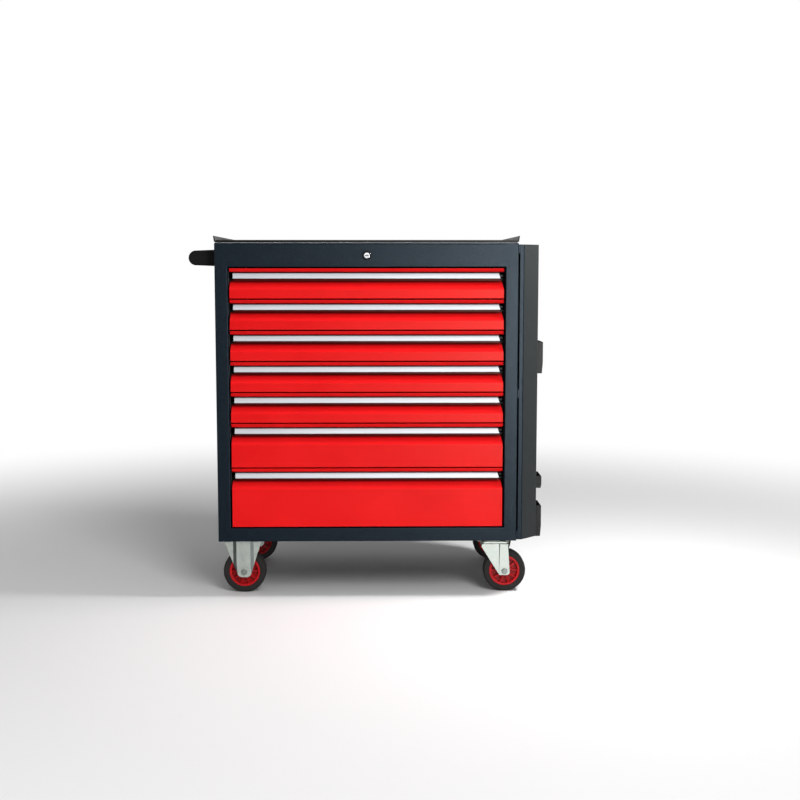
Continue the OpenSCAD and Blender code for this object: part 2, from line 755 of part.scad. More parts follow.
// Rubber tyre with rounded shoulders
module tyre(side, end) {
    r = wheel_dia / 2;
    w = tyre_w / 2;
    round_r = 5;
    color("#3a3a3c") at_wheel(side, end) rotate([90, 0, 0]) rotate_extrude() {
        translate([hub_r, -w + 1]) square([tyre_t - round_r, 2 * w - 2]);
        translate([hub_r + 1, -w]) square([tyre_t - round_r - 1, 2 * w]);
        translate([hub_r + 1, -w + round_r]) square([tyre_t - 1, 2 * (w - round_r)]);
        for (s = [-1, 1]) translate([r - round_r, s * (w - round_r)]) circle(r = round_r);
    }
}

left_side_panel();
right_side_panel();
back_panel();
base_pan();
top_cover();
worktop_board();
worktop_tray();
side_tool_panel();
tool_holders();
handle_brackets();
handle_bar();
handle_screws();
runner_posts();
cabinet_runners();
lock_housing();
lock_plug();
lock_bar();
fixed_castor_brackets();
fixed_castor_axles();
swivel_castor_plates();
castor_bolts();
swivel_fork(-1);  // front_swivel_fork
swivel_fork(1);  // rear_swivel_fork
wheel_hub(-1, -1);  // front_left_wheel_hub
wheel_hub(-1, 1);  // rear_left_wheel_hub
wheel_hub(1, -1);  // front_right_wheel_hub
wheel_hub(1, 1);  // rear_right_wheel_hub
tyre(-1, -1);  // front_left_tyre
tyre(-1, 1);  // rear_left_tyre
tyre(1, -1);  // front_right_tyre
tyre(1, 1);  // rear_right_tyre
for (i = [1 : drawer_n]) {
    drawer_front(i);
    drawer_grip(i);
    drawer_box(i);
    middle_runners(i);
}
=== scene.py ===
import math

import bmesh
import bpy
from mathutils import Matrix, Vector


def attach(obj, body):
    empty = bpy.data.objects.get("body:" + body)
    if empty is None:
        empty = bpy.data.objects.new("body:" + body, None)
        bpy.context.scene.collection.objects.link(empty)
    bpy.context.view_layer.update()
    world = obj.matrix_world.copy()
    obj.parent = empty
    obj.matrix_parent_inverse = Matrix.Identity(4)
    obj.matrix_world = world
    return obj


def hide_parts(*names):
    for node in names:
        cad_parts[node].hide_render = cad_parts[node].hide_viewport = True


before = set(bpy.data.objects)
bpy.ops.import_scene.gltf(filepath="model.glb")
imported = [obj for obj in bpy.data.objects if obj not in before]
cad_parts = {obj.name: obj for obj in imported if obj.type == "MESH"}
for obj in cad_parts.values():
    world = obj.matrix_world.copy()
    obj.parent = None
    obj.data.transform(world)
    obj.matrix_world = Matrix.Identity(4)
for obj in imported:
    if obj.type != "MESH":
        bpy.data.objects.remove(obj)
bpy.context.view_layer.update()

# Side panels: one steel sheet each, folded round the front into the stile beside
# the drawers and back again, welded to the rails. Fine-textured dark powder coat.
mm = 0.001
carcass = "carcass"


def at(x, y, z):
    """A place in millimetres from the body's middle, as a point of the shared frame."""
    return Vector((x + 1.5, y + 1.3, z)) * mm


def fresh(obj=None):
    """Leaves edit mode and selects nothing, or only this object."""
    if bpy.context.object and bpy.context.object.mode != "OBJECT":
        bpy.ops.object.mode_set(mode="OBJECT")
    bpy.ops.object.select_all(action="DESELECT")
    if obj:
        obj.select_set(True)
        bpy.context.view_layer.objects.active = obj


def settled(name, size=(1, 1, 1)):
    """Names and scales the piece just added, and applies its place, turn and size."""
    obj = bpy.context.object
    obj.name = name
    obj.scale = size
    bpy.ops.object.transform_apply(location=True, rotation=True, scale=True)
    return obj


def pick(obj, kind, test):
    """In edit mode, selects only the verts, edges or faces that pass the test."""
    bpy.ops.mesh.select_mode(type=kind)
    bpy.ops.mesh.select_all(action="DESELECT")
    shape = bmesh.from_edit_mesh(obj.data)
    for part in {"VERT": shape.verts, "EDGE": shape.edges, "FACE": shape.faces}[kind]:
        if test(part):
            part.select_set(True)
    bmesh.update_edit_mesh(obj.data)


def on_line(v, start, run):
    return (v.co - start).cross(run.normalized()).length < 1e-6


def apply(obj, kind, **settings):
    """Adds one modifier with these settings and applies it."""
    fresh(obj)
    tool = obj.modifiers.new(kind.lower(), kind)
    for key, value in settings.items():
        setattr(tool, key, value)
    bpy.ops.object.modifier_apply(modifier=tool.name)


def ease(obj, width, segments=2, angle=40):
    """Rounds every edge sharper than the angle and shades the rest smooth."""
    if width:
        apply(obj, "BEVEL", width=width * mm, segments=segments, limit_method="ANGLE",
              angle_limit=math.radians(angle), harden_normals=False)
    fresh(obj)
    bpy.ops.object.shade_smooth_by_angle(angle=math.radians(32))
    apply(obj, "WEIGHTED_NORMAL", keep_sharp=True)


def bent_sheet(name, path, run, t, bend, outward, edge=0.25):
    """A sheet whose outer face follows the path, as wide as run, with rounded bends."""
    run = Vector(run) * mm
    first = path[1] - path[0]
    turn = Matrix((first.normalized(), run.normalized(),
                   first.cross(run).normalized())).transposed().to_euler()
    middle = (path[0] + path[1] + run) / 2
    fresh()
    bpy.ops.mesh.primitive_plane_add(size=1, location=middle, rotation=turn)
    obj = settled(name, (first.length, run.length, 1))
    bpy.ops.object.mode_set(mode="EDIT")
    pick(obj, "EDGE", lambda e: all(on_line(v, path[1], run) for v in e.verts))
    for a, b in zip(path[1:], path[2:]):
        bpy.ops.mesh.extrude_edges_move(TRANSFORM_OT_translate={"value": b - a})
    bpy.ops.mesh.select_all(action="SELECT")
    bpy.ops.mesh.normals_make_consistent(inside=False)
    shape = bmesh.from_edit_mesh(obj.data)
    nearest = min(shape.faces, key=lambda f: (f.calc_center_median() - middle).length)
    if nearest.normal.dot(Vector(outward)) < 0:
        bpy.ops.mesh.flip_normals()
    if bend:
        for corner in path[1:-1]:
            pick(obj, "EDGE", lambda e: all(on_line(v, corner, run) for v in e.verts))
            bpy.ops.mesh.bevel(offset=bend * mm, segments=4, affect="EDGES")
    bpy.ops.object.mode_set(mode="OBJECT")
    if t:
        apply(obj, "SOLIDIFY", thickness=t * mm, offset=-1, use_even_offset=True)
        ease(obj, edge)
    return obj


def again(obj, name, shift=(0, 0, 0), flip=False):
    """A copy with its own mesh, moved by shift or mirrored to the body's other side."""
    fresh(obj)
    bpy.ops.object.duplicate(linked=False)
    copy = bpy.context.object
    copy.name = name
    if flip:
        copy.scale = (-1, 1, 1)
        copy.location.x = 2 * at(0, 0, 0).x
    copy.location += Vector(shift) * mm
    bpy.ops.object.transform_apply(location=True, rotation=True, scale=True)
    if flip:
        bpy.ops.object.mode_set(mode="EDIT")
        bpy.ops.mesh.select_all(action="SELECT")
        bpy.ops.mesh.normals_make_consistent(inside=False)
        bpy.ops.object.mode_set(mode="OBJECT")
        ease(copy, 0)
    return copy


def joined(name, *pieces):
    fresh(pieces[0])
    for piece in pieces[1:]:
        piece.select_set(True)
    bpy.ops.object.join()
    pieces[0].name = name
    return pieces[0]


def finish(name, metal=0.0, rough=0.5, spec=0.5):
    """A new material with its shader and the piece's own coordinates."""
    made = bpy.data.materials.new(name)
    made.use_nodes = True
    tree = made.node_tree
    shader = tree.nodes["Principled BSDF"]
    shader.inputs["Metallic"].default_value = metal
    shader.inputs["Roughness"].default_value = rough
    shader.inputs["Specular IOR Level"].default_value = spec
    place = tree.nodes.new("ShaderNodeTexCoord").outputs["Object"]
    return made, tree, shader, place


def node(tree, kind, **wires):
    """A node whose inputs are set from values or wired from other sockets."""
    made = tree.nodes.new("ShaderNode" + kind)
    for key, value in wires.items():
        key = key.replace("_", " ")
        if isinstance(value, bpy.types.NodeSocket):
            tree.links.new(value, made.inputs[key])
        else:
            made.inputs[key].default_value = value
    return made


def noise(tree, place, scale, detail=3.0, rough=0.55, stretch=None):
    if stretch:
        place = node(tree, "Mapping", Vector=place, Scale=stretch).outputs["Vector"]
    made = node(tree, "TexNoise", Vector=place, Scale=scale, Detail=detail, Roughness=rough)
    return made.outputs["Fac"]


def ramp(tree, fac, *stops):
    made = node(tree, "ValToRGB", Fac=fac)
    bar = made.color_ramp
    bar.elements[0].position, bar.elements[1].position = stops[0][0], stops[-1][0]
    for place, _ in stops[1:-1]:
        bar.elements.new(place)
    for stop, (_, value) in zip(bar.elements, stops):
        stop.color = (value, value, value, 1) if isinstance(value, float) else (*value, 1)
    return made.outputs["Color"]


def srgb(*levels):
    return tuple(((v / 255 + 0.055) / 1.055) ** 2.4 if v > 10 else v / 255 / 12.92 for v in levels)


def spread(tree, fac, low, high):
    """A ramp over the middle of a noise, between two numbers or two sRGB colours."""
    low, high = (srgb(*v) if isinstance(v, tuple) else v for v in (low, high))
    return ramp(tree, fac, (0.3, low), (0.7, high))


def blend(tree, fac, a, b):
    made = tree.nodes.new("ShaderNodeMix")
    made.data_type = "RGBA"
    for key, value in ((0, fac), (6, a), (7, b)):
        if isinstance(value, bpy.types.NodeSocket):
            tree.links.new(value, made.inputs[key])
        elif key:
            made.inputs[key].default_value = (*value, 1)
        else:
            made.inputs[key].default_value = value
    return made.outputs[2]


def surface(tree, shader, colour, rough):
    tree.links.new(colour, shader.inputs["Base Color"])
    tree.links.new(rough, shader.inputs["Roughness"])


def bumps(tree, shader, height, strength, depth):
    made = node(tree, "Bump", Height=height, Strength=strength, Distance=depth)
    tree.links.new(made.outputs["Normal"], shader.inputs["Normal"])


def dress(obj, material, body, slot, *nodes):
    obj.data.materials.clear()
    obj.data.materials.append(material)
    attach(obj, body)
    if nodes:
        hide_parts(*nodes)


def textured_coat(name, dark, light, fleck, tint=(0.72, 0.88, 1.0)):
    """Fine-grained powder coat: speckled grain, soft cloudiness and tiny bright flecks."""
    made, tree, shader, place = finish(name, rough=0.3)
    shader.inputs["Specular Tint"].default_value = (*tint, 1)
    grain = noise(tree, place, 620, 4, 0.7)
    cloud = noise(tree, place, 9, 3)
    base = blend(tree, ramp(tree, grain, (0.36, 0.0), (0.66, 1.0)), srgb(*dark), srgb(*light))
    flecks = ramp(tree, noise(tree, place, 900, 2, 0.5), (0.64, 0.0), (0.76, 0.5))
    base = blend(tree, flecks, base, srgb(*fleck))
    base = blend(tree, 0.18, base, spread(tree, cloud, dark, light))
    surface(tree, shader, base, spread(tree, grain, 0.31, 0.4))
    gloss = ramp(tree, noise(tree, place, 540, 4, 0.7), (0.36, 0.05), (0.66, 0.134))
    tree.links.new(gloss, shader.inputs["Specular IOR Level"])
    bumps(tree, shader, grain, 0.35, 0.0006)
    return made


body_coat = textured_coat("body_powder_coat", (7, 14, 22), (12, 22, 32), (46, 58, 72))
sheet_t, side_x, stile_x = 1.2, 345, 315.5
front_y, fold_y, back_y = -230, -215, 230
base_z, top_z = 133, 817.5
stile_fold = [at(x, y, base_z) for x, y in (
    (side_x, back_y), (side_x, front_y), (stile_x, front_y), (stile_x, fold_y))]
right_side = bent_sheet("right_side", stile_fold, (0, 0, top_z - base_z), sheet_t, 2.0, (1, 0, 0))
left_side = again(right_side, "left_side", flip=True)
dress(right_side, body_coat, carcass, "body_paint", "right_side_panel")
dress(left_side, body_coat, carcass, "body_paint", "left_side_panel")

# Base pan: one sheet folded up at the front into the bottom rail, with a strip on
# each side that is welded to the side panels. It carries the castors.
rail_x, seat_y, strip_w = 317.6, 229, 28.2


def rail_sheets(name, z, rail_z, outward):
    """A sheet folded at the front into a rail, and the strip on each side of it."""
    fold = [at(-rail_x, y, h) for y, h in (
        (seat_y, z), (front_y, z), (front_y, rail_z), (fold_y, rail_z))]
    middle = bent_sheet(name, fold, (2 * rail_x, 0, 0), sheet_t, 1.8, outward, 0)
    side = [at(stile_x, seat_y, z), at(stile_x, fold_y, z)]
    strip = bent_sheet(name + "_edge", side, (strip_w, 0, 0), sheet_t, 0, outward)
    return [middle, strip, again(strip, name + "_edge_left", flip=True)]


pan = rail_sheets("pan", base_z, 164.5, (0, 0, -1))
dress(joined("bottom_pan", *pan), body_coat, carcass, "body_paint", "base_pan")

# Top cover: one sheet folded down at the front into the top rail, with a round hole
# for the lock, welded between the side panels under the worktop.
cover = rail_sheets("cover", top_z, 765, (0, 0, 1))
lock_z, lock_hole_r = 791.25, 8.8
fresh()
bpy.ops.mesh.primitive_cylinder_add(vertices=64, radius=lock_hole_r * mm, depth=30 * mm,
                                    location=at(0, -228, lock_z), rotation=(math.pi / 2, 0, 0))
lock_hole = bpy.context.object
apply(cover[0], "BOOLEAN", operation="DIFFERENCE", object=lock_hole, solver="EXACT")
bpy.data.objects.remove(lock_hole)
ease(cover[0], 0)
dress(joined("cover_and_rail", *cover), body_coat, carcass, "body_paint", "top_cover")

# Back wall: a flat sheet with four upright stiffening beads pressed inward, spot
# welded to the side panels. Same powder coat as the body.
wall_w, wall_h, wall_mid_z = 687.6, 681.8, 475.4
bead_lines, bead_end, bead_depth = (-12, -6, 6, 12), 8, 3
fresh()
bpy.ops.mesh.primitive_plane_add(size=1, location=at(0, back_y, wall_mid_z), rotation=(-math.pi / 2, 0, 0))
back = settled("back_wall", (wall_w * mm, wall_h * mm, 1))
bpy.ops.object.mode_set(mode="EDIT")
bead_low, bead_high = at(0, 0, 202.7).z, at(0, 0, 748).z
beads = [at(k * 86.25, 0, 0).x for k in (-3, -1, 1, 3)]
for x in beads:
    for side in bead_lines:
        bpy.ops.mesh.select_all(action="SELECT")
        bpy.ops.mesh.bisect(plane_co=(x + side * mm, 0, 0), plane_no=(1, 0, 0))
for z in (bead_low - bead_end * mm, bead_low, bead_high, bead_high + bead_end * mm):
    bpy.ops.mesh.select_all(action="SELECT")
    bpy.ops.mesh.bisect(plane_co=(0, 0, z), plane_no=(0, 0, 1))
pick(back, "FACE", lambda f: bead_low < f.calc_center_median().z < bead_high
     and any(abs(f.calc_center_median().x - x) < 5 * mm for x in beads))
bpy.ops.transform.translate(value=(0, -bead_depth * mm, 0))
bpy.ops.object.mode_set(mode="OBJECT")
apply(back, "SOLIDIFY", thickness=sheet_t * mm, offset=-1)
ease(back, 0.25)
dress(back, body_coat, carcass, "body_paint", "back_panel")

# Runner posts: four upright channels of spangled sheet steel, welded inside the
# side panels, that the telescopic runners are screwed to. Their dark grey is painted
# shade, for the shadow in the gaps beside the drawer ends.
post_steel, tree, shader, place = finish("dark_spangled_sheet_painted_shade", metal=0.8, rough=0.5, spec=0.2)
spangle = node(tree, "TexVoronoi", Vector=place, Scale=70.0)
flakes = ramp(tree, spangle.outputs["Distance"], (0.0, srgb(24, 26, 28)), (0.9, srgb(42, 44, 47)))
tone = blend(tree, 0.5, flakes, spread(tree, noise(tree, place, 25), (26, 28, 30), (44, 46, 48)))
surface(tree, shader, tone, spread(tree, noise(tree, place, 40), 0.34, 0.52))
bumps(tree, shader, noise(tree, place, 300), 0.08, 0.0004)
posts = []
post_x, post_wall_x, post_w, post_z = 314.7, 343.8, 30, 134.5
for k, y in enumerate((-210.5, 150)):
    channel = [at(x, y + d, post_z) for x, d in (
        (post_wall_x, 0), (post_x, 0), (post_x, post_w), (post_wall_x, post_w))]
    post = bent_sheet("post_%d" % k, channel, (0, 0, wall_h), sheet_t, 1.8, (0, -1, 0))
    posts += [post, again(post, "post_left_%d" % k, flip=True)]
dress(joined("upright_posts", *posts), post_steel, carcass, "post_steel", "runner_posts")

# Worktop board: a thin sheet whose light grey edge shows as a line under the tray.
# It lies on the top cover on a backing cut a little shorter all round, in the body's dark coat as painted shade
# for the line under the edge.
board_grey, tree, shader, place = finish("board_edge_grey", rough=0.55)
fibre = noise(tree, place, 260, 3, 0.6, stretch=(0.05, 1, 1))
tree.links.new(spread(tree, fibre, (196, 197, 198), (222, 223, 224)), shader.inputs["Base Color"])
bumps(tree, shader, fibre, 0.15, 0.0004)
board_x, board_y, backing_t, board_t = 344, 229, 1.9, 2.2


def block(name, low, high):
    """A squared block between two corners."""
    fresh()
    bpy.ops.mesh.primitive_cube_add(size=1, location=(low + high) / 2)
    return settled(name, high - low)


board = block("board", at(-board_x, -board_y, top_z), at(board_x, board_y, top_z + backing_t))
bpy.ops.object.mode_set(mode="EDIT")
pick(board, "FACE", lambda f: f.normal.z > 0.9)
bpy.ops.mesh.extrude_region_move(TRANSFORM_OT_translate={"value": (0, 0, board_t * mm)})
pick(board, "FACE", lambda f: abs(f.normal.z) < 0.1 and f.calc_center_median().z > at(0, 0, 820).z)
bpy.ops.mesh.extrude_region_shrink_fatten(TRANSFORM_OT_shrink_fatten={"value": 1 * mm})
bpy.ops.object.mode_set(mode="OBJECT")
ease(board, 0.2)
dress(board, board_grey, carcass, "board_edge", "worktop_board")
# Painted shade: the backing's faces take the body's dark coat, for the shadow line under the board's light
# edge.
board.data.materials.append(body_coat)
for f in board.data.polygons:
    f.material_index = int(f.center.z < at(0, 0, top_z + backing_t - 0.05).z)

# Worktop tray: one black plastic moulding with a low lip in front and higher rims,
# leaning outward, at the sides and the back. Grained surface with rounded edges.
tray_black, tree, shader, place = finish("grained_black_plastic", rough=0.42, spec=0.12)
pebble = node(tree, "TexVoronoi", Vector=place, Scale=700.0).outputs["Distance"]
dust = noise(tree, place, 6, 4)
surface(tree, shader, spread(tree, dust, (8, 8, 9), (14, 14, 15)), spread(tree, dust, 0.36, 0.52))
bumps(tree, shader, pebble, 0.3, 0.0004)
tray_low, tray_floor = 821.6, 822.6
tray = block("tray", at(-side_x, front_y, tray_low), at(side_x, back_y, tray_floor))
bpy.ops.object.mode_set(mode="EDIT")
rim_x, rim_y, rim_h, tray_lip_h = 341, 226, 12.6, 3.4
lean, inner_lean = 2, 4
for side in (1, -1):
    bpy.ops.mesh.select_all(action="SELECT")
    bpy.ops.mesh.bisect(plane_co=at(side * rim_x, 0, 0), plane_no=(1, 0, 0))
for side in (-1, 1):
    bpy.ops.mesh.select_all(action="SELECT")
    bpy.ops.mesh.bisect(plane_co=at(0, side * rim_y, 0), plane_no=(0, 1, 0))
tray_top, rim_z, lip_z = (at(0, 0, tray_floor + h).z for h in (0, rim_h, tray_lip_h))
edge_x, edge_y = rim_x * mm, rim_y * mm
mid = at(0, 0, 0)


def near(a, b):
    return abs(a - b) < 1e-5


def on_tray_top(f, test):
    spot = f.calc_center_median()
    return f.normal.z > 0.9 and near(spot.z, tray_top) and test(spot - mid)


pick(tray, "FACE", lambda f: on_tray_top(f, lambda s: abs(s.x) > edge_x or s.y > edge_y))
bpy.ops.mesh.extrude_region_move(TRANSFORM_OT_translate={"value": (0, 0, rim_h * mm)})
pick(tray, "FACE", lambda f: on_tray_top(f, lambda s: abs(s.x) < edge_x and s.y < -edge_y))
bpy.ops.mesh.extrude_region_move(TRANSFORM_OT_translate={"value": (0, 0, tray_lip_h * mm)})
for side in (-1, 1):
    pick(tray, "VERT", lambda v: near(v.co.z, rim_z) and near((v.co.x - mid.x) * side, side_x * mm))
    bpy.ops.transform.translate(value=(lean * side * mm, 0, 0))
    pick(tray, "VERT", lambda v: near(v.co.z, rim_z) and near((v.co.x - mid.x) * side, edge_x))
    bpy.ops.transform.translate(value=(inner_lean * side * mm, 0, 0))
pick(tray, "VERT", lambda v: near(v.co.z, rim_z) and abs(v.co.x - mid.x) < (side_x + 1) * mm
     and near(v.co.y - mid.y, edge_y))
bpy.ops.transform.translate(value=(0, lean * mm, 0))
pick(tray, "VERT", lambda v: near(v.co.z, lip_z) and near(v.co.y - mid.y, -edge_y))
bpy.ops.transform.translate(value=(0, -lean * mm, 0))
bpy.ops.object.mode_set(mode="OBJECT")
ease(tray, 0.4, 3, 25)
dress(tray, tray_black, carcass, "tray_plastic", "worktop_tray")

# Drawer fronts: one steel sheet each, bent into a bottom fold, a face, a slope, the
# finger recess and a flat lip, with low cheeks folded back. Satin red powder coat. The
# recess wall behind the grip is coloured dark red: painted shade for the shadow there.
drawer_red, tree, shader, place = finish("red_powder_coat", rough=0.38, spec=0.045)
shader.inputs["Specular Tint"].default_value = (1.0, 0.97, 0.76, 1)
peel = noise(tree, place, 420, 2, 0.5)
cloud = noise(tree, place, 7, 4)
red = blend(tree, spread(tree, cloud, 0.0, 1.0), srgb(211, 15, 20), srgb(221, 19, 23))
flecks = ramp(tree, noise(tree, place, 1500, 2), (0.62, 0.0), (0.8, 0.1))
red = blend(tree, flecks, red, srgb(243, 60, 54))
# Painted shade: where a front's points are marked, the red turns dark red, standing in for the shadow in the
# finger recess.
recess_shade_node = tree.nodes.new("ShaderNodeAttribute")
recess_shade_node.attribute_name = "deep"
red = blend(tree, ramp(tree, recess_shade_node.outputs["Fac"], (0.68, 0.0), (1.0, 1.0)), red, srgb(104, 8, 11))
surface(tree, shader, red, spread(tree, cloud, 0.34, 0.42))
bumps(tree, shader, peel, 0.14, 0.0006)
front_x, lip_h, lip_lean, recess_h, slope_h = 311.5, 8, 4.5, 20.7, 18.8
recess_d, front_d, recess_end = 16, 17, 8.5
end_x, wide = 300, 100


def upright(e):
    return abs(e.verts[0].co.z - e.verts[1].co.z) > mm


def drawer_front(name, h):
    low = h - lip_h - recess_h - slope_h
    fold = [at(-front_x, front_y + y, z) for y, z in (
        (8.5, 0), (0, 0), (0, low), (recess_d, low + slope_h), (recess_d, low + slope_h + 1.6),
        (recess_d, h - lip_h), (0, h - lip_h), (0, h), (front_d, h))]
    obj = bent_sheet(name, fold, (2 * front_x, 0, 0), 0, 0, (0, 0, -1))
    recess_y, slope_z = at(0, front_y + recess_d, 0).y, (low + slope_h) * mm
    bpy.ops.object.mode_set(mode="EDIT")
    for side, drawn_in in ((-1, 0.5), (1, 3.4)):

        def at_end(v):
            return (v.co.x - mid.x) * side > end_x * mm

        pick(obj, "VERT", lambda v: at_end(v) and near(v.co.y, recess_y))
        bpy.ops.transform.translate(value=(-drawn_in * side * mm, 0, 0))
        pick(obj, "VERT", lambda v: at_end(v) and near(v.co.y, recess_y) and v.co.z > slope_z + mm / 2)
        bpy.ops.transform.translate(value=((drawn_in - recess_end) * side * mm, 0, 0))
        pick(obj, "EDGE", lambda e: upright(e)
             and all(at_end(v) and v.co.z < slope_z + mm / 100 for v in e.verts))
        bpy.ops.mesh.extrude_edges_move(TRANSFORM_OT_translate={"value": (0, mm, 0)})
        bpy.ops.transform.resize(value=(1, 0, 1), center_override=at(0, front_y + front_d - 0.2, 0))
    pick(obj, "VERT", lambda v: near(v.co.y, at(0, front_y, 0).y) and near(v.co.z, (h - lip_h) * mm))
    bpy.ops.transform.translate(value=(0, lip_lean * mm, 0))
    bpy.ops.mesh.select_all(action="SELECT")
    bpy.ops.mesh.normals_make_consistent(inside=False)
    shape = bmesh.from_edit_mesh(obj.data)
    face = min(shape.faces, key=lambda f: (f.calc_center_median() - at(0, front_y, low / 2)).length)
    if face.normal.y > 0:
        bpy.ops.mesh.flip_normals()
    for y, z, bend in ((0, 0, 0.9), (0, low, 0.9), (recess_d, low + slope_h, 0.9), (recess_d, h - lip_h, 0.9),
                       (lip_lean, h - lip_h, 2.0), (0, h, 2.0)):
        bend_y = at(0, front_y + y, 0).y
        pick(obj, "EDGE", lambda e: all(near(v.co.y, bend_y) and near(v.co.z, z * mm) for v in e.verts)
             and abs(e.verts[0].co.x - e.verts[1].co.x) > wide * mm)
        bpy.ops.mesh.bevel(offset=bend * mm, segments=5, affect="EDGES")
    bpy.ops.object.mode_set(mode="OBJECT")
    apply(obj, "SOLIDIFY", thickness=1.0 * mm, offset=-1, use_even_offset=True)
    ease(obj, 0.3)
    # Painted shade: the points of the recess wall, below the lip, are marked for the coat's dark red.
    for v, mark in zip(obj.data.vertices, obj.data.attributes.new("deep", "FLOAT", "POINT").data):
        mark.value = v.co.y > recess_y - 1.2 * mm and v.co.z < (h - lip_h + 0.1) * mm
    return obj


drawer_heights = [68, 68, 68, 68, 68, 100.5, 136]
drawer_bottoms = [694, 623, 552, 481, 410, 306.5, 167.5]
pattern = {h: drawer_front("front_pattern_%d" % h, h) for h in (68, 100.5, 136)}
for i, (h, z) in enumerate(zip(drawer_heights, drawer_bottoms), 1):
    front = again(pattern[h], "front_%d" % i, (0, 0, z))
    dress(front, drawer_red, "drawer_%d" % i, "drawer_red", "drawer_front_%d" % i)
for obj in pattern.values():
    bpy.data.objects.remove(obj)

# Grip strips: a full-width aluminium extrusion under each lip, with a face that
# curls back at its lower edge for the fingers. Lengthwise brushed and anodised.
grip_metal, tree, shader, place = finish("brushed_anodised_aluminium", metal=0.85, rough=0.45)
brush = noise(tree, place, 900, 3, 0.65, stretch=(0.012, 1, 1))
streak = noise(tree, place, 120, 3, 0.6, stretch=(0.03, 1, 1))
tone = blend(tree, 0.35, spread(tree, brush, (120, 122, 126), (148, 150, 153)),
             spread(tree, streak, (124, 126, 130), (146, 148, 151)))
surface(tree, shader, tone, spread(tree, brush, 0.52, 0.68))
bumps(tree, shader, brush, 0.12, 0.0003)
grip_x = 304
strip_fold = [at(-grip_x, front_y + y, z) for y, z in (
    (15.6, -1), (5.5, -1), (4, -4), (2.9, -7.5), (2.2, -11), (2, -13.6), (7.8, -13.6))]
grip = bent_sheet("grip_pattern", strip_fold, (2 * grip_x, 0, 0), 0, 0, (0, 0, 1))
bpy.ops.object.mode_set(mode="EDIT")
for z, cut in ((-1, 4), (-4, 3), (-7.5, 2), (-11, 1)):
    pick(grip, "VERT", lambda v: v.co.x > at(295, 0, 0).x and near(v.co.z, z * mm))
    bpy.ops.transform.translate(value=(-cut * mm, 0, 0))
for y, z in ((5.5, -1), (2, -13.6)):
    bend_y = at(0, front_y + y, 0).y
    pick(grip, "EDGE", lambda e: all(near(v.co.y, bend_y) and near(v.co.z, z * mm) for v in e.verts))
    bpy.ops.mesh.bevel(offset=1.2 * mm, segments=4, affect="EDGES")
bpy.ops.object.mode_set(mode="OBJECT")
apply(grip, "SOLIDIFY", thickness=1.8 * mm, offset=-1, use_even_offset=True)
ease(grip, 0.25)
for i, (h, z) in enumerate(zip(drawer_heights, drawer_bottoms), 1):
    strip = again(grip, "grip_%d" % i, (0, 0, z + h - 9.6))
    dress(strip, grip_metal, "drawer_%d" % i, "grip_metal", "drawer_grip_%d" % i)
bpy.data.objects.remove(grip)

# Lock: a dark burnished bezel with a threaded body through the top rail, and in it a
# bright turned plug with a keyway, whose cam and pin move the lock bar.
dark_metal, tree, shader, place = finish("burnished_dark_metal", metal=0.4, rough=0.35, spec=0.05)
smear = noise(tree, place, 240, 3)
surface(tree, shader, spread(tree, smear, (7, 7, 8), (16, 17, 18)), spread(tree, smear, 0.28, 0.46))
bumps(tree, shader, noise(tree, place, 1500), 0.1, 0.0003)
bright, tree, shader, place = finish("bright_turned_metal", metal=1.0, rough=0.16)
scuff = noise(tree, place, 700, 3, 0.6)
surface(tree, shader, spread(tree, scuff, (178, 182, 186), (216, 218, 220)), spread(tree, scuff, 0.10, 0.24))
bumps(tree, shader, scuff, 0.05, 0.0002)


def traced(name, spots):
    """A new piece in edit mode: a line through these places, all of it selected."""
    fresh()
    bpy.ops.mesh.primitive_plane_add(size=mm, location=spots[0])
    obj = settled(name)
    bpy.ops.object.mode_set(mode="EDIT")
    bpy.ops.mesh.select_mode(type="VERT")
    bpy.ops.mesh.select_all(action="SELECT")
    bpy.ops.mesh.merge(type="CENTER")
    bpy.ops.mesh.select_all(action="SELECT")
    for a, b in zip(spots, spots[1:]):
        bpy.ops.mesh.extrude_vertices_move(TRANSFORM_OT_translate={"value": b - a})
    bpy.ops.mesh.select_all(action="SELECT")
    return obj


def turned(name, profile, centre, axis, steps=64):
    """A shape turned on an axis, from (radius, distance along the axis) in millimetres."""
    axis = Vector(axis)
    out = axis.orthogonal().normalized()
    obj = traced(name, [centre + (out * r + axis * d) * mm for r, d in profile])
    bpy.ops.mesh.spin(steps=steps, dupli=False, angle=2 * math.pi, center=centre, axis=axis)
    bpy.ops.mesh.select_all(action="SELECT")
    bpy.ops.mesh.remove_doubles(threshold=1e-6)
    bpy.ops.mesh.normals_make_consistent(inside=False)
    bpy.ops.object.mode_set(mode="OBJECT")
    return obj


def plate(name, outline, run):
    """A flat plate with this outline, as thick as run."""
    obj = traced(name, outline)
    bpy.ops.mesh.edge_face_add()
    bpy.ops.mesh.extrude_region_move(TRANSFORM_OT_translate={"value": Vector(run) * mm})
    bpy.ops.mesh.select_all(action="SELECT")
    bpy.ops.mesh.normals_make_consistent(inside=False)
    bpy.ops.object.mode_set(mode="OBJECT")
    return obj


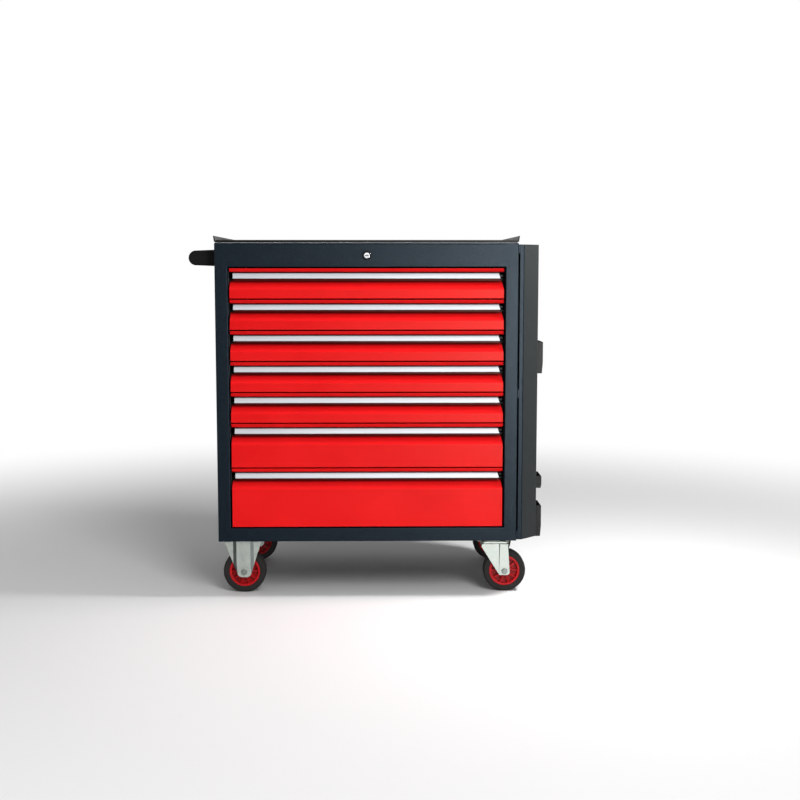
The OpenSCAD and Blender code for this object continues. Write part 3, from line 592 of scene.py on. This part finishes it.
lock_spot = at(0, front_y, lock_z)
bezel = turned("bezel", [(7.15, -14), (8.7, -14), (8.7, 0), (10.25, 0), (10.25, 1.5), (9.3, 2.6), (7.7, 2.6),
                         (7.15, 2.0), (7.15, -14)], lock_spot, (0, -1, 0))
ease(bezel, 0.3, 3, 25)
nut_r, nut_t = 13.2, 4
corners = [lock_spot + Vector((math.cos(a) * nut_r, 1.4, math.sin(a) * nut_r)) * mm
           for a in (k * math.pi / 3 for k in range(6))]
ring_nut = plate("ring_nut", corners, (0, nut_t, 0))
ease(ring_nut, 0.5)
dress(joined("lock_bezel", bezel, ring_nut), dark_metal, carcass, "lock_dark", "lock_housing")
plug = turned("plug", [(0, 2.2), (6.1, 2.2), (7.0, 1.5), (7.0, -0.5), (5.5, -0.5), (5.5, -15), (10.5, -15),
                       (10.5, -17), (0, -17)], lock_spot, (0, -1, 0))
keyway = block("keyway", at(-4, -234, lock_z - 0.9), at(4, -224, lock_z + 0.9))
apply(plug, "BOOLEAN", operation="DIFFERENCE", object=keyway, solver="EXACT")
bpy.data.objects.remove(keyway)
ease(plug, 0.2, 2, 30)
pin = turned("pin", [(0, -16), (2, -16), (2, -20.4), (1.5, -21), (0, -21)],
             at(5, front_y, lock_z + 5), (0, -1, 0), 32)
ease(pin, 0)
dress(joined("lock_plug_turned", plug, pin), bright, "lock_plug", "lock_chrome", "lock_plug")

# Lock bar: a flat black zinc plated bar behind the top rail and the right stile, with one
# tongue for each drawer's catch. The lock's pin lowers it.
# Black zinc for the lock bar, screws and runners; on the runners its dark tone is also painted shade for the
# gaps beside the drawer ends.
black_zinc_gap_shade, tree, shader, place = finish("black_zinc_plate_gap_shade", metal=0.35, rough=0.4, spec=0.05)
cloud = noise(tree, place, 50, 4, 0.6)
grainy = node(tree, "TexVoronoi", Vector=place, Scale=260.0).outputs["Distance"]
tone = blend(tree, 0.35, spread(tree, cloud, (9, 10, 11), (17, 18, 20)),
             ramp(tree, grainy, (0.0, srgb(10, 11, 12)), (0.8, srgb(21, 22, 23))))
surface(tree, shader, tone, spread(tree, cloud, 0.30, 0.50))
bumps(tree, shader, noise(tree, place, 420), 0.07, 0.0004)
dress(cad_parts["lock_bar"], black_zinc_gap_shade, "lock_bar", "runner_zinc")

# Runners: three rolled black zinc channels on each side of each drawer; their dark tone
# is also painted shade for the gaps beside the drawer ends. The outer one is screwed to
# the posts, the inner one to the drawer, and the middle one rides between.
# A small steel catch for the lock bar is riveted on above the right one.
runner_y, runner_len, runner_drop = -207, 392, 40.5
runner_z = [z + h - runner_drop for h, z in zip(drawer_heights, drawer_bottoms)]


def runner_member(name, x, x_end, half):
    path = [at(*spot) for spot in ((x_end, runner_y, half), (x, runner_y, half),
                                   (x, runner_y, -half), (x_end, runner_y, -half))]
    return bent_sheet(name, path, (0, runner_len, 0), sheet_t, 2.6, (0, 0, 1), 0.2)


outer = runner_member("outer_member", 314.7, 306, 17.5)
middle = runner_member("middle_member", 313.1, 304, 15.9)
inner = runner_member("inner_member", 302.1, 310.7, 14.3)
outers = []
for i, z in enumerate(runner_z, 1):
    right = again(outer, "outer_%d" % i, (0, 0, z))
    outers += [right, again(right, "outer_left_%d" % i, flip=True)]
    right = again(middle, "middle_%d" % i, (0, 0, z))
    left = again(right, "middle_left_%d" % i, flip=True)
    pair = joined("middle_members_%d" % i, right, left)
    dress(pair, black_zinc_gap_shade, "runner_%d" % i, "runner_zinc", "middle_runners_%d" % i)
    right = again(inner, "inner_%d" % i, (0, 0, z))
    left = again(right, "inner_left_%d" % i, flip=True)
    catch = block("catch_%d" % i, at(301, -210, z + 20.5), at(311.5, -205, z + 26.5))
    ease(catch, 0.8, 3)
    pair = joined("inner_members_%d" % i, right, left, catch)
    dress(pair, black_zinc_gap_shade, "drawer_%d" % i, "runner_zinc", "drawer_box_%d" % i)
dress(joined("outer_members", *outers), black_zinc_gap_shade, carcass, "runner_zinc", "cabinet_runners")
for obj in (outer, middle, inner):
    bpy.data.objects.remove(obj)

# Drawer boxes: a sheet folded up at both sides with hemmed rims, and a front and a
# back wall spot welded in. Red powder coat.
box_red, tree, shader, place = finish("red_box_coat", rough=0.45, spec=0.08)
surface(tree, shader, spread(tree, noise(tree, place, 10, 4), (186, 18, 24), (204, 24, 30)),
        spread(tree, noise(tree, place, 30), 0.40, 0.55))
bumps(tree, shader, noise(tree, place, 420, 2), 0.14, 0.0006)
box_x, box_y, box_len, floor_z, rim_drop = 302, -213, 400, 4, 13


def drawer_box(name, h):
    rim = h - rim_drop
    fold = [at(x, box_y, z) for x, z in ((box_x - 5, rim), (box_x, rim), (box_x, floor_z), (-box_x, floor_z),
                                         (-box_x, rim), (5 - box_x, rim))]
    walls = [bent_sheet(name, fold, (0, box_len, 0), 1, 1.4, (0, 0, 1))]
    for y, hem, out in ((box_y, 6, -1), (box_y + box_len, -6, 1)):
        wall = [at(1 - box_x, *spot) for spot in ((y, floor_z), (y, rim - 0.2), (y + hem, rim - 0.2))]
        walls.append(bent_sheet("wall", wall, (2 * box_x - 2, 0, 0), 1, 1.4, (0, out, 0)))
    return joined(name, *walls)


pattern = {h: drawer_box("box_pattern_%d" % h, h) for h in (68, 100.5, 136)}
for i, (h, z) in enumerate(zip(drawer_heights, drawer_bottoms), 1):
    box = again(pattern[h], "box_%d" % i, (0, 0, z))
    dress(box, box_red, "drawer_%d" % i, "box_red", "drawer_box_%d" % i)
for obj in pattern.values():
    bpy.data.objects.remove(obj)

# Push handle: two black plastic brackets with round outer ends, screwed to the left
# side, and a black coated steel tube held in their sockets.
moulded, tree, shader, place = finish("black_moulded_plastic", rough=0.38, spec=0.06)
skin = noise(tree, place, 900, 3, 0.6)
tone = spread(tree, noise(tree, place, 30, 3), (7, 7, 7), (13, 13, 13))
surface(tree, shader, tone, spread(tree, skin, 0.32, 0.48))
bumps(tree, shader, skin, 0.12, 0.0003)
tube_black, tree, shader, place = finish("black_coated_tube", rough=0.34)
skin = noise(tree, place, 500, 3, 0.6)
tone = spread(tree, noise(tree, place, 18, 4), (20, 20, 22), (32, 32, 34))
surface(tree, shader, tone, spread(tree, skin, 0.26, 0.42))
bumps(tree, shader, skin, 0.1, 0.0004)
handle_x, handle_z, end_r, foot_h = -394, 786, 17, 19
bracket_y, bracket_t, bracket_pitch = -176, 22, 330
round_end = [at(handle_x - end_r * math.sin(a), bracket_y, handle_z + end_r * math.cos(a))
             for a in (k * math.pi / 24 for k in range(25))]
foot = [at(-side_x, bracket_y, handle_z - foot_h), at(-side_x, bracket_y, handle_z + foot_h)]
bracket = plate("bracket", round_end + foot, (0, bracket_t, 0))
ease(bracket, 3.2, 4, 50)
rear_bracket = again(bracket, "rear_bracket", (0, bracket_pitch, 0))
dress(joined("handle_ends", bracket, rear_bracket), moulded, carcass, "handle_black", "handle_brackets")
tube = turned("handle_tube", [(11, -169), (12.5, -169), (12.5, 169), (11, 169), (11, -169)],
              at(handle_x, 0, handle_z), (0, 1, 0))
ease(tube, 0.3)
dress(tube, tube_black, carcass, "handle_tube", "handle_bar")
dress(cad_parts["handle_screws"], black_zinc_gap_shade, carcass, "fastener_zinc")

# Side tool panel: one sheet that stands off the right side, bevelled front and rear,
# with square hook holes in its face, closed ends and three tabs to the body. Its narrow
# front strip and the tabs have the body's coat, the rest a greyer one.
panel_coat = textured_coat("side_panel_coat", (26, 28, 28), (44, 46, 46), (84, 87, 88))
panel_low, panel_high, panel_x, panel_t = 136, 816, 395, 1.5
outline = [at(x, y, panel_low) for x, y in (
    (348, front_y), (357, front_y), (panel_x, -192), (panel_x, 172), (357, 210), (side_x, 210))]
panel = bent_sheet("tool_panel", outline, (0, 0, panel_high - panel_low), 0, 2.0, (0, -1, 0))
face_x = at(panel_x, 0, 0).x
hole_top, hole_pitch, hole_half = 792, 35, 5
hole_rows = [hole_top - hole_pitch * n for n in range(19)]
hole_columns = [-167.5 + hole_pitch * c for c in range(10)]


def on_face(f):
    return abs(f.normal.x) > 0.99 and near(f.calc_center_median().x, face_x)


def in_hole(f):
    spot = f.calc_center_median()
    return (near(spot.x, face_x) and any(abs(spot.z - z * mm) < hole_half * mm for z in hole_rows)
            and any(abs(spot.y - at(0, y, 0).y) < hole_half * mm for y in hole_columns))


bpy.ops.object.mode_set(mode="EDIT")
cuts = [(at(0, 0, z + edge), (0, 0, 1)) for z in hole_rows for edge in (-hole_half, hole_half)]
cuts += [(at(0, y + edge, 0), (0, 1, 0)) for y in hole_columns for edge in (-hole_half, hole_half)]
for spot, normal in cuts:
    pick(panel, "FACE", on_face)
    bpy.ops.mesh.bisect(plane_co=spot, plane_no=normal)
pick(panel, "FACE", in_hole)
bpy.ops.mesh.delete(type="FACE")
bpy.ops.object.mode_set(mode="OBJECT")
apply(panel, "SOLIDIFY", thickness=panel_t * mm, offset=-1, use_even_offset=True)
ease(panel, 0.25)
cap = [(side_x, fold_y), (348, -228.6), (356.4, -228.6), (393.6, -191.4), (393.6, 171.4), (356.4, 208.6),
       (side_x, 208.6)]
caps = [plate("cap", [at(x, y, z) for x, y in cap], (0, 0, panel_t)) for z in (panel_low, panel_high - panel_t)]
tabs = [block("tab", at(side_x, front_y, z), at(349, front_y + panel_t, z + 20))
        for z in (panel_low, 466, panel_high - 20)]
for piece in caps + tabs:
    ease(piece, 0.2)
side_panel = joined("side_panel", panel, *caps, *tabs)
dress(side_panel, panel_coat, carcass, "panel_paint", "side_tool_panel")
side_panel.data.materials.append(body_coat)
for face in side_panel.data.polygons:
    if face.center.x < at(357.5, 0, 0).x and face.center.y < at(0, -228, 0).y:
        face.material_index = 1

# Tool holders: three small open-topped pockets folded from sheet, hung by two hooks
# each in the panel's holes, with a duller coat of the panel's colour.
holder_coat = textured_coat("holder_coat", (26, 28, 28), (44, 46, 46), (84, 87, 88), (0.45, 0.43, 0.42))
holders = []
pocket_x, pocket_y, pocket_w, pocket_t = 408, -185, 70, 1.2
for row, h in ((6, 73), (15, 28), (17, 73)):
    hook_z = hole_rows[row]
    z1 = hook_z + 10
    z0 = z1 - h
    wall = [(panel_x, z1), (panel_x, z0), (406.05, z0), (pocket_x, z0 + h / 3), (pocket_x, z1)]
    pocket = plate("pocket", [at(x, pocket_y, z) for x, z in wall], (0, pocket_w, 0))
    bpy.ops.object.mode_set(mode="EDIT")
    pick(pocket, "FACE", lambda f: f.normal.z > 0.9)
    bpy.ops.mesh.inset(thickness=pocket_t * mm, depth=0)
    bpy.ops.mesh.extrude_region_move(TRANSFORM_OT_translate={"value": (0, 0, (z0 + h / 3 - z1) * mm)})
    bpy.ops.mesh.extrude_region_move(TRANSFORM_OT_translate={"value": (0, 0, (pocket_t - h / 3) * mm)})
    pick(pocket, "VERT", lambda v: near(v.co.z, (z0 + pocket_t) * mm) and v.co.x > at(403, 0, 0).x)
    bpy.ops.transform.translate(value=(-1.8 * mm, 0, 0))
    bpy.ops.object.mode_set(mode="OBJECT")
    ease(pocket, 0.35)
    hooks = [block("hook", at(391.3, y - 4, hook_z - 5), at(396, y + 4, hook_z - 1)) for y in hole_columns[:2]]
    for hook in hooks:
        ease(hook, 0.5)
    holders += [pocket, *hooks]
dress(joined("hung_pockets", *holders), holder_coat, carcass, "panel_paint", "tool_holders")

# Castors: pressed zinc brackets bolted under the base pan, fixed on the left and on
# swivel plates with ball races on the right, with a pressed strip down each leg.
zinc, tree, shader, place = finish("bright_zinc_plate", metal=1.0, rough=0.3)
cloud = noise(tree, place, 60, 4, 0.6)
grainy = node(tree, "TexVoronoi", Vector=place, Scale=260.0).outputs["Distance"]
tone = ramp(tree, cloud, (0.3, srgb(108, 114, 111)), (0.55, srgb(121, 126, 121)), (0.75, srgb(129, 131, 121)))
tone = blend(tree, 0.3, tone, ramp(tree, grainy, (0.0, srgb(110, 115, 112)), (0.8, srgb(133, 136, 133))))
# Painted shade: where points are marked, the zinc turns dark grey, standing in for the shadow along the legs'
# press lines and round the axle ends.
pressed = tree.nodes.new("ShaderNodeAttribute")
pressed.attribute_name = "fold"
tone = blend(tree, pressed.outputs["Fac"], tone, srgb(56, 61, 60))
surface(tree, shader, tone, spread(tree, cloud, 0.42, 0.58))
bumps(tree, shader, noise(tree, place, 420), 0.07, 0.0004)
plate_z, plate_t, axle_z = 130, 3, 50
leg_y, leg_t, strip_t = 17.5, 2.5, 1.6
axle_offset, trail = 4, 28.5
castor_places = {"left": -295, "right": 295}
ends = {"front": -162.5, "rear": 162.5}


def rounded(corners, steps=10):
    """An outline from (x, z, radius) corners, with the first and the last left sharp."""
    spots = [Vector((x, z)) for x, z, _ in corners]
    line = [spots[0]]
    for before, corner, after, (_, _, r) in zip(spots, spots[1:], spots[2:], corners[1:]):
        u, v = (before - corner).normalized(), (after - corner).normalized()
        half = u.angle(v) / 2
        middle = corner + (u + v).normalized() * (r / math.sin(half))
        start, end = (corner + w * (r / math.tan(half)) - middle for w in (u, v))
        line += [middle + start.slerp(end, k / steps).normalized() * r for k in range(steps + 1)]
    return line + [spots[-1]]


def fork_leg(name, cx, y, out, corners, strip, slope, shade):
    """One leg, and on it the strip between two upright lines that is pressed outward.

    The strip's sides slope over this width, and are coloured this much darker than its face: painted shade
    along the press lines.
    """
    edge = rounded(corners)
    leg = plate(name, [at(cx + x, y, axle_z + z) for x, z in edge], (0, leg_t * out, 0))
    ease(leg, 0.5)
    face = [at(cx + x, y + leg_t * out, axle_z + z) for x, z in edge]
    band = plate(name + "_strip", face, (0, strip_t * out, 0))
    face_y = at(0, y + leg_t * out, 0).y
    bpy.ops.object.mode_set(mode="EDIT")
    for x, side in zip(strip, (1, -1)):
        bpy.ops.mesh.select_all(action="SELECT")
        bpy.ops.mesh.bisect(plane_co=at(cx + x, 0, 0), plane_no=(side, 0, 0), clear_inner=True, use_fill=True)
    for x, side in zip(strip, (1, -1)):
        line_x = at(cx + x, 0, 0).x
        pick(band, "VERT", lambda v: near(v.co.x, line_x) and (v.co.y - face_y) * out > mm)
        bpy.ops.transform.translate(value=(slope * side * mm, 0, 0))
    pick(band, "FACE", lambda f: f.normal.y * out > 0.999)
    bpy.ops.mesh.inset(thickness=0.5 * mm, depth=0)
    raised = [v.select for v in bmesh.from_edit_mesh(band.data).verts]
    bpy.ops.object.mode_set(mode="OBJECT")
    # Painted shade: every point of the strip but its face is marked, so its sides darken.
    for flat, mark in zip(raised, band.data.attributes.new("fold", "FLOAT", "POINT").data):
        mark.value = 0.0 if flat else shade
    ease(band, 0)
    return [leg, band]


def pressed_plate(name, low, high, corner_r, edge, segments=2):
    """A thick plate with its upright corners rounded and its edges eased."""
    piece = block(name, low, high)
    bpy.ops.object.mode_set(mode="EDIT")
    pick(piece, "EDGE", upright)
    bpy.ops.mesh.bevel(offset=corner_r * mm, segments=5, affect="EDGES")
    bpy.ops.object.mode_set(mode="OBJECT")
    ease(piece, edge, segments)
    return piece


def mount_plate(name, cx, y):
    return pressed_plate(name, at(cx - 46, y - 38, plate_z), at(cx + 46, y + 38, plate_z + plate_t), 6, 0.5)


def hexagon(name, spot, axis, across, height):
    """A hexagon head with its corners chamfered."""
    axis = Vector(axis)
    out = axis.orthogonal().normalized()
    side = axis.cross(out)
    corners = [spot + (out * math.cos(a) + side * math.sin(a)) * across / 2 * mm
               for a in (k * math.pi / 3 for k in range(6))]
    piece = plate(name, corners, axis * height)
    ease(piece, 0.7, 2, 50)
    return piece


def axle(name, cx, y):
    """Axle bolt with its washers, hexagon head in front and lock nut behind."""
    spot, along, axle_r, washer_r = at(cx, y, axle_z), (0, 1, 0), 5, 8
    reach = leg_y + leg_t + strip_t + 0.1
    rod = turned(name, [(0, -reach), (axle_r, -reach), (axle_r, reach + 7.4), (axle_r - 0.6, reach + 8),
                        (0, reach + 8)], spot, along, 40)
    ease(rod, 0)
    washers = [turned("washer", [(axle_r, d), (washer_r, d), (washer_r, d + 1), (axle_r, d + 1), (axle_r, d)],
                      spot, along, 40) for d in (-reach - 1, reach)]
    for washer in washers:
        ease(washer, 0.2)
    head = hexagon("head", at(cx, y - reach - 0.9, axle_z), (0, -1, 0), 14, 5)
    nut = hexagon("nut", at(cx, y + reach + 1, axle_z), (0, 1, 0), 14, 5.8)
    # Painted shade: the head and nut are coloured much darker, the washers a little, for the shadow round the
    # axle ends.
    for piece, shade in ((head, 0.6), (nut, 0.6), (washers[0], 0.15), (washers[1], 0.15)):
        for mark in piece.data.attributes.new("fold", "FLOAT", "POINT").data:
            mark.value = shade
    return joined(name, rod, head, nut, *washers)


fixed_corners = [(-50, 80, 0), (-13.2, -12.5, 12), (13.6, -12.5, 12), (42, 80, 0)]
swivel_corners = [(-53.5, 64.6, 0), (-55.4, 58.5, 2), (-12.8, -9.8, 6.5), (12.2, -9.8, 6.5), (7.5, 64.6, 0)]
brackets, axles, plates = [], [], []
for end, y in ends.items():
    cx = castor_places["left"]
    brackets.append(mount_plate("fixed_plate_" + end, cx, y))
    for out in (-1, 1):
        brackets += fork_leg("fixed_leg", cx + axle_offset, y + out * leg_y, out, fixed_corners,
                             strip=(-26, 22.4), slope=7.6, shade=0.9)
    axles.append(axle("fixed_axle_" + end, cx + axle_offset, y))
    cx = castor_places["right"]
    plates.append(mount_plate("swivel_plate_" + end, cx, y))
    race = turned("race", [(0, plate_z), (30, plate_z), (29.4, 127), (27.6, 124), (26, 121), (6, 121), (6, 111),
                           (10, 111), (10, 106), (0, 106)], at(cx, y, 0), (0, 0, 1))
    ease(race, 0.8, 3, 25)
    plates.append(race)
    crown_low, crown_high = at(cx - 26, y - 20, 114.6), at(cx + trail + 9.5, y + 20, 120.6)
    fork = [pressed_plate("crown", crown_low, crown_high, 7, 1.6, 3)]
    for out in (-1, 1):
        fork += fork_leg("swivel_leg", cx + trail, y + out * leg_y, out, swivel_corners,
                         strip=(-13.4, 30), slope=2, shade=0.4)
    fork.append(axle("swivel_axle_" + end, cx + trail, y))
    dress(joined(end + "_fork", *fork), zinc, end + "_swivel", "castor_zinc", end + "_swivel_fork")
dress(joined("fixed_brackets", *brackets), zinc, carcass, "castor_zinc", "fixed_castor_brackets")
dress(joined("fixed_axles", *axles), zinc, carcass, "fastener_zinc", "fixed_castor_axles")
dress(joined("swivel_plates", *plates), zinc, carcass, "castor_zinc", "swivel_castor_plates")
bolts, bolt_x, bolt_y, across = [], (-33, 33), (-29, 29), 13.6
shank_profile = [(0, 125.5), (4, 125.5), (4, 143.2), (3.4, 143.9), (0, 143.9)]
for x, y in ((cx + bx, cy + by) for cx in castor_places.values() for cy in ends.values()
             for bx in bolt_x for by in bolt_y):
    bolts.append(hexagon("bolt_head", at(x, y, plate_z), (0, 0, -1), across, 5.4))
    bolts.append(hexagon("bolt_nut", at(x, y, 134.5), (0, 0, 1), across, 6.4))
    bolts.append(turned("shank", shank_profile, at(x, y, 0), (0, 0, 1), 24))
    ease(bolts[-1], 0)
dress(joined("plate_bolts", *bolts), zinc, carcass, "fastener_zinc", "castor_bolts")

# Wheels: a red moulded hub with a rim, a thin web, ten ribs and a boss on the axle,
# and a dark grey rubber tyre with rounded shoulders moulded round the rim.
hub_red, tree, shader, place = finish("red_hub_plastic", rough=0.4, spec=0.07)
flow = noise(tree, place, 45, 3)
surface(tree, shader, spread(tree, flow, (166, 12, 20), (186, 20, 26)), spread(tree, flow, 0.34, 0.5))
bumps(tree, shader, noise(tree, place, 700), 0.08, 0.0003)
rubber, tree, shader, place = finish("dark_grey_rubber", rough=0.78, spec=0.12)
dust = noise(tree, place, 55, 5, 0.65)
fine = noise(tree, place, 900, 3, 0.6)
tone = blend(tree, 0.3, spread(tree, dust, (22, 20, 19), (40, 37, 36)),
             spread(tree, fine, (22, 20, 20), (38, 36, 35)))
surface(tree, shader, tone, spread(tree, dust, 0.68, 0.86))
bumps(tree, shader, fine, 0.2, 0.0004)
shoulder = [(45 + 5 * math.sin(a), 10 + 5 * math.cos(a)) for a in (k * math.pi / 16 for k in range(9))]
sidewall = [(36, 13.6), (37.2, 14.6), (39.2, 14.6), (39.8, 15)]
half_tyre = sidewall + shoulder + [(50.0, 0.6)]
tyre_profile = half_tyre + [(49.7, 0)] + [(r, -d) for r, d in reversed(half_tyre)] + half_tyre[:1]
rim_profile = [(5.1, -17), (12, -17), (12, -2.5), (31, -2.5), (31, -14), (36, -14), (36, 14), (31, 14),
               (31, 2.5), (12, 2.5), (12, 17), (5.1, 17), (5.1, -17)]
rib_count, rib_r, rib_size = 10, 21.5, Vector((20.4, 25, 2.8))
for end, y in ends.items():
    for side, cx in castor_places.items():
        spot = at(cx + (trail if side == "right" else axle_offset), y, axle_z)
        body = "%s_%s_wheel" % (end, side)
        rim = turned("rim", rim_profile, spot, (0, 1, 0), 72)
        ease(rim, 0.7, 3, 30)
        ribs = []
        for k in range(rib_count):
            a = k * 2 * math.pi / rib_count
            middle = spot + Vector((math.cos(a), 0, math.sin(a))) * rib_r * mm
            fresh()
            bpy.ops.mesh.primitive_cube_add(size=1, location=middle, rotation=(0, -a, 0))
            rib = settled("rib", rib_size * mm)
            bpy.ops.object.mode_set(mode="EDIT")
            pick(rib, "VERT", lambda v: (v.co - spot).length > 30 * mm)
            bpy.ops.transform.resize(value=(1, 0.86, 1), center_override=spot)
            bpy.ops.object.mode_set(mode="OBJECT")
            ease(rib, 0.5)
            ribs.append(rib)
        dress(joined(body + "_hub", rim, *ribs), hub_red, body, "hub_red", body + "_hub")
        tyre = turned(body + "_rubber", tyre_profile, spot, (0, 1, 0), 96)
        ease(tyre, 0)
        dress(tyre, rubber, body, "tyre_rubber", "%s_%s_tyre" % (end, side))

# Floor and studio: a plain pale floor that fades to white, a large soft lamp above the
# camera, a tall reflector on its right, weaker lamps on the other sides, a white surround.
fresh()
bpy.ops.mesh.primitive_circle_add(vertices=96, radius=6, fill_type="NGON", location=(0, 0, 0))
floor = bpy.context.object
floor.name = "floor"
pale, tree, shader, place = finish("pale_floor", rough=0.7, spec=0.3)
shader.inputs["Base Color"].default_value = (0.68, 0.68, 0.68, 1)
away = node(tree, "VectorMath", Vector=place)
away.operation = "LENGTH"
fade = node(tree, "MapRange", Value=away.outputs["Value"], From_Min=0.8, From_Max=2.6)
fade.interpolation_type = "SMOOTHSTEP"


def seen_directly(tree):
    """1 for rays from the eye, also by way of a mirror or of glass, and 0 for light that spreads."""
    path = node(tree, "LightPath")
    found = path.outputs["Is Camera Ray"]
    for kind in ("Is Glossy Ray", "Is Transmission Ray"):
        either = tree.nodes.new("ShaderNodeMath")
        either.operation = "MAXIMUM"
        tree.links.new(found, either.inputs[0])
        tree.links.new(path.outputs[kind], either.inputs[1])
        found = either.outputs[0]
    return found


amount = tree.nodes.new("ShaderNodeMath")
amount.operation = "MULTIPLY"
tree.links.new(seen_directly(tree), amount.inputs[0])
tree.links.new(fade.outputs["Result"], amount.inputs[1])
white = node(tree, "Emission")
mixed = node(tree, "MixShader", Fac=amount.outputs[0])
tree.links.new(shader.outputs["BSDF"], mixed.inputs[1])
tree.links.new(white.outputs["Emission"], mixed.inputs[2])
tree.links.new(mixed.outputs["Shader"], tree.nodes["Material Output"].inputs["Surface"])
floor.data.materials.append(pale)

world = bpy.data.worlds.new("surround")
bpy.context.scene.world = world
world.use_nodes = True
tree = world.node_tree
surround = tree.nodes["Background"]
surround.inputs["Color"].default_value = (1, 1, 1, 1)
level = node(tree, "MapRange", Value=seen_directly(tree), To_Min=0.22, To_Max=1.0)
tree.links.new(level.outputs["Result"], surround.inputs["Strength"])


def lamp(name, spot, aim, width, height, watts):
    made = bpy.data.lights.new(name, "AREA")
    made.shape, made.size, made.size_y, made.energy = "RECTANGLE", width, height, watts
    obj = bpy.data.objects.new(name, made)
    bpy.context.scene.collection.objects.link(obj)
    obj.location = spot
    obj.rotation_euler = (Vector(aim) - Vector(spot)).to_track_quat("-Z", "Y").to_euler()
    return obj


lamp("key_lamp", (1.4, -3.6, 2.9), (0.05, -0.2, 0.45), 1.5, 1.9, 116)
lamp("fill_lamp", (-2.4, -2.4, 1.8), (0, 0, 0.45), 2.0, 2.0, 4)
lamp("top_lamp", (0.1, -1.1, 3.0), (0, -0.5, 0), 2.4, 2.4, 26)
lamp("side_lamp", (0.95, -0.27, 1.25), (0.42, -0.1, 0.8), 0.3, 0.3, 24)
reflector = lamp("reflector", (0.9, -3.0, 0.6), (0.1, 0, 0.4), 0.5, 1.18, 142)
reflector.visible_diffuse = False

camera = bpy.data.cameras.new("camera")
camera.lens = 56.07
camera.sensor_width = 36
eye = bpy.data.objects.new("camera", camera)
bpy.context.scene.collection.objects.link(eye)
eye.location = (0.0285, -3.0677, 0.762)
eye.rotation_euler = (math.radians(90 - 6.03), 0, math.radians(-0.97))
bpy.context.scene.camera = eye
bpy.context.scene.view_settings.view_transform = "Standard"
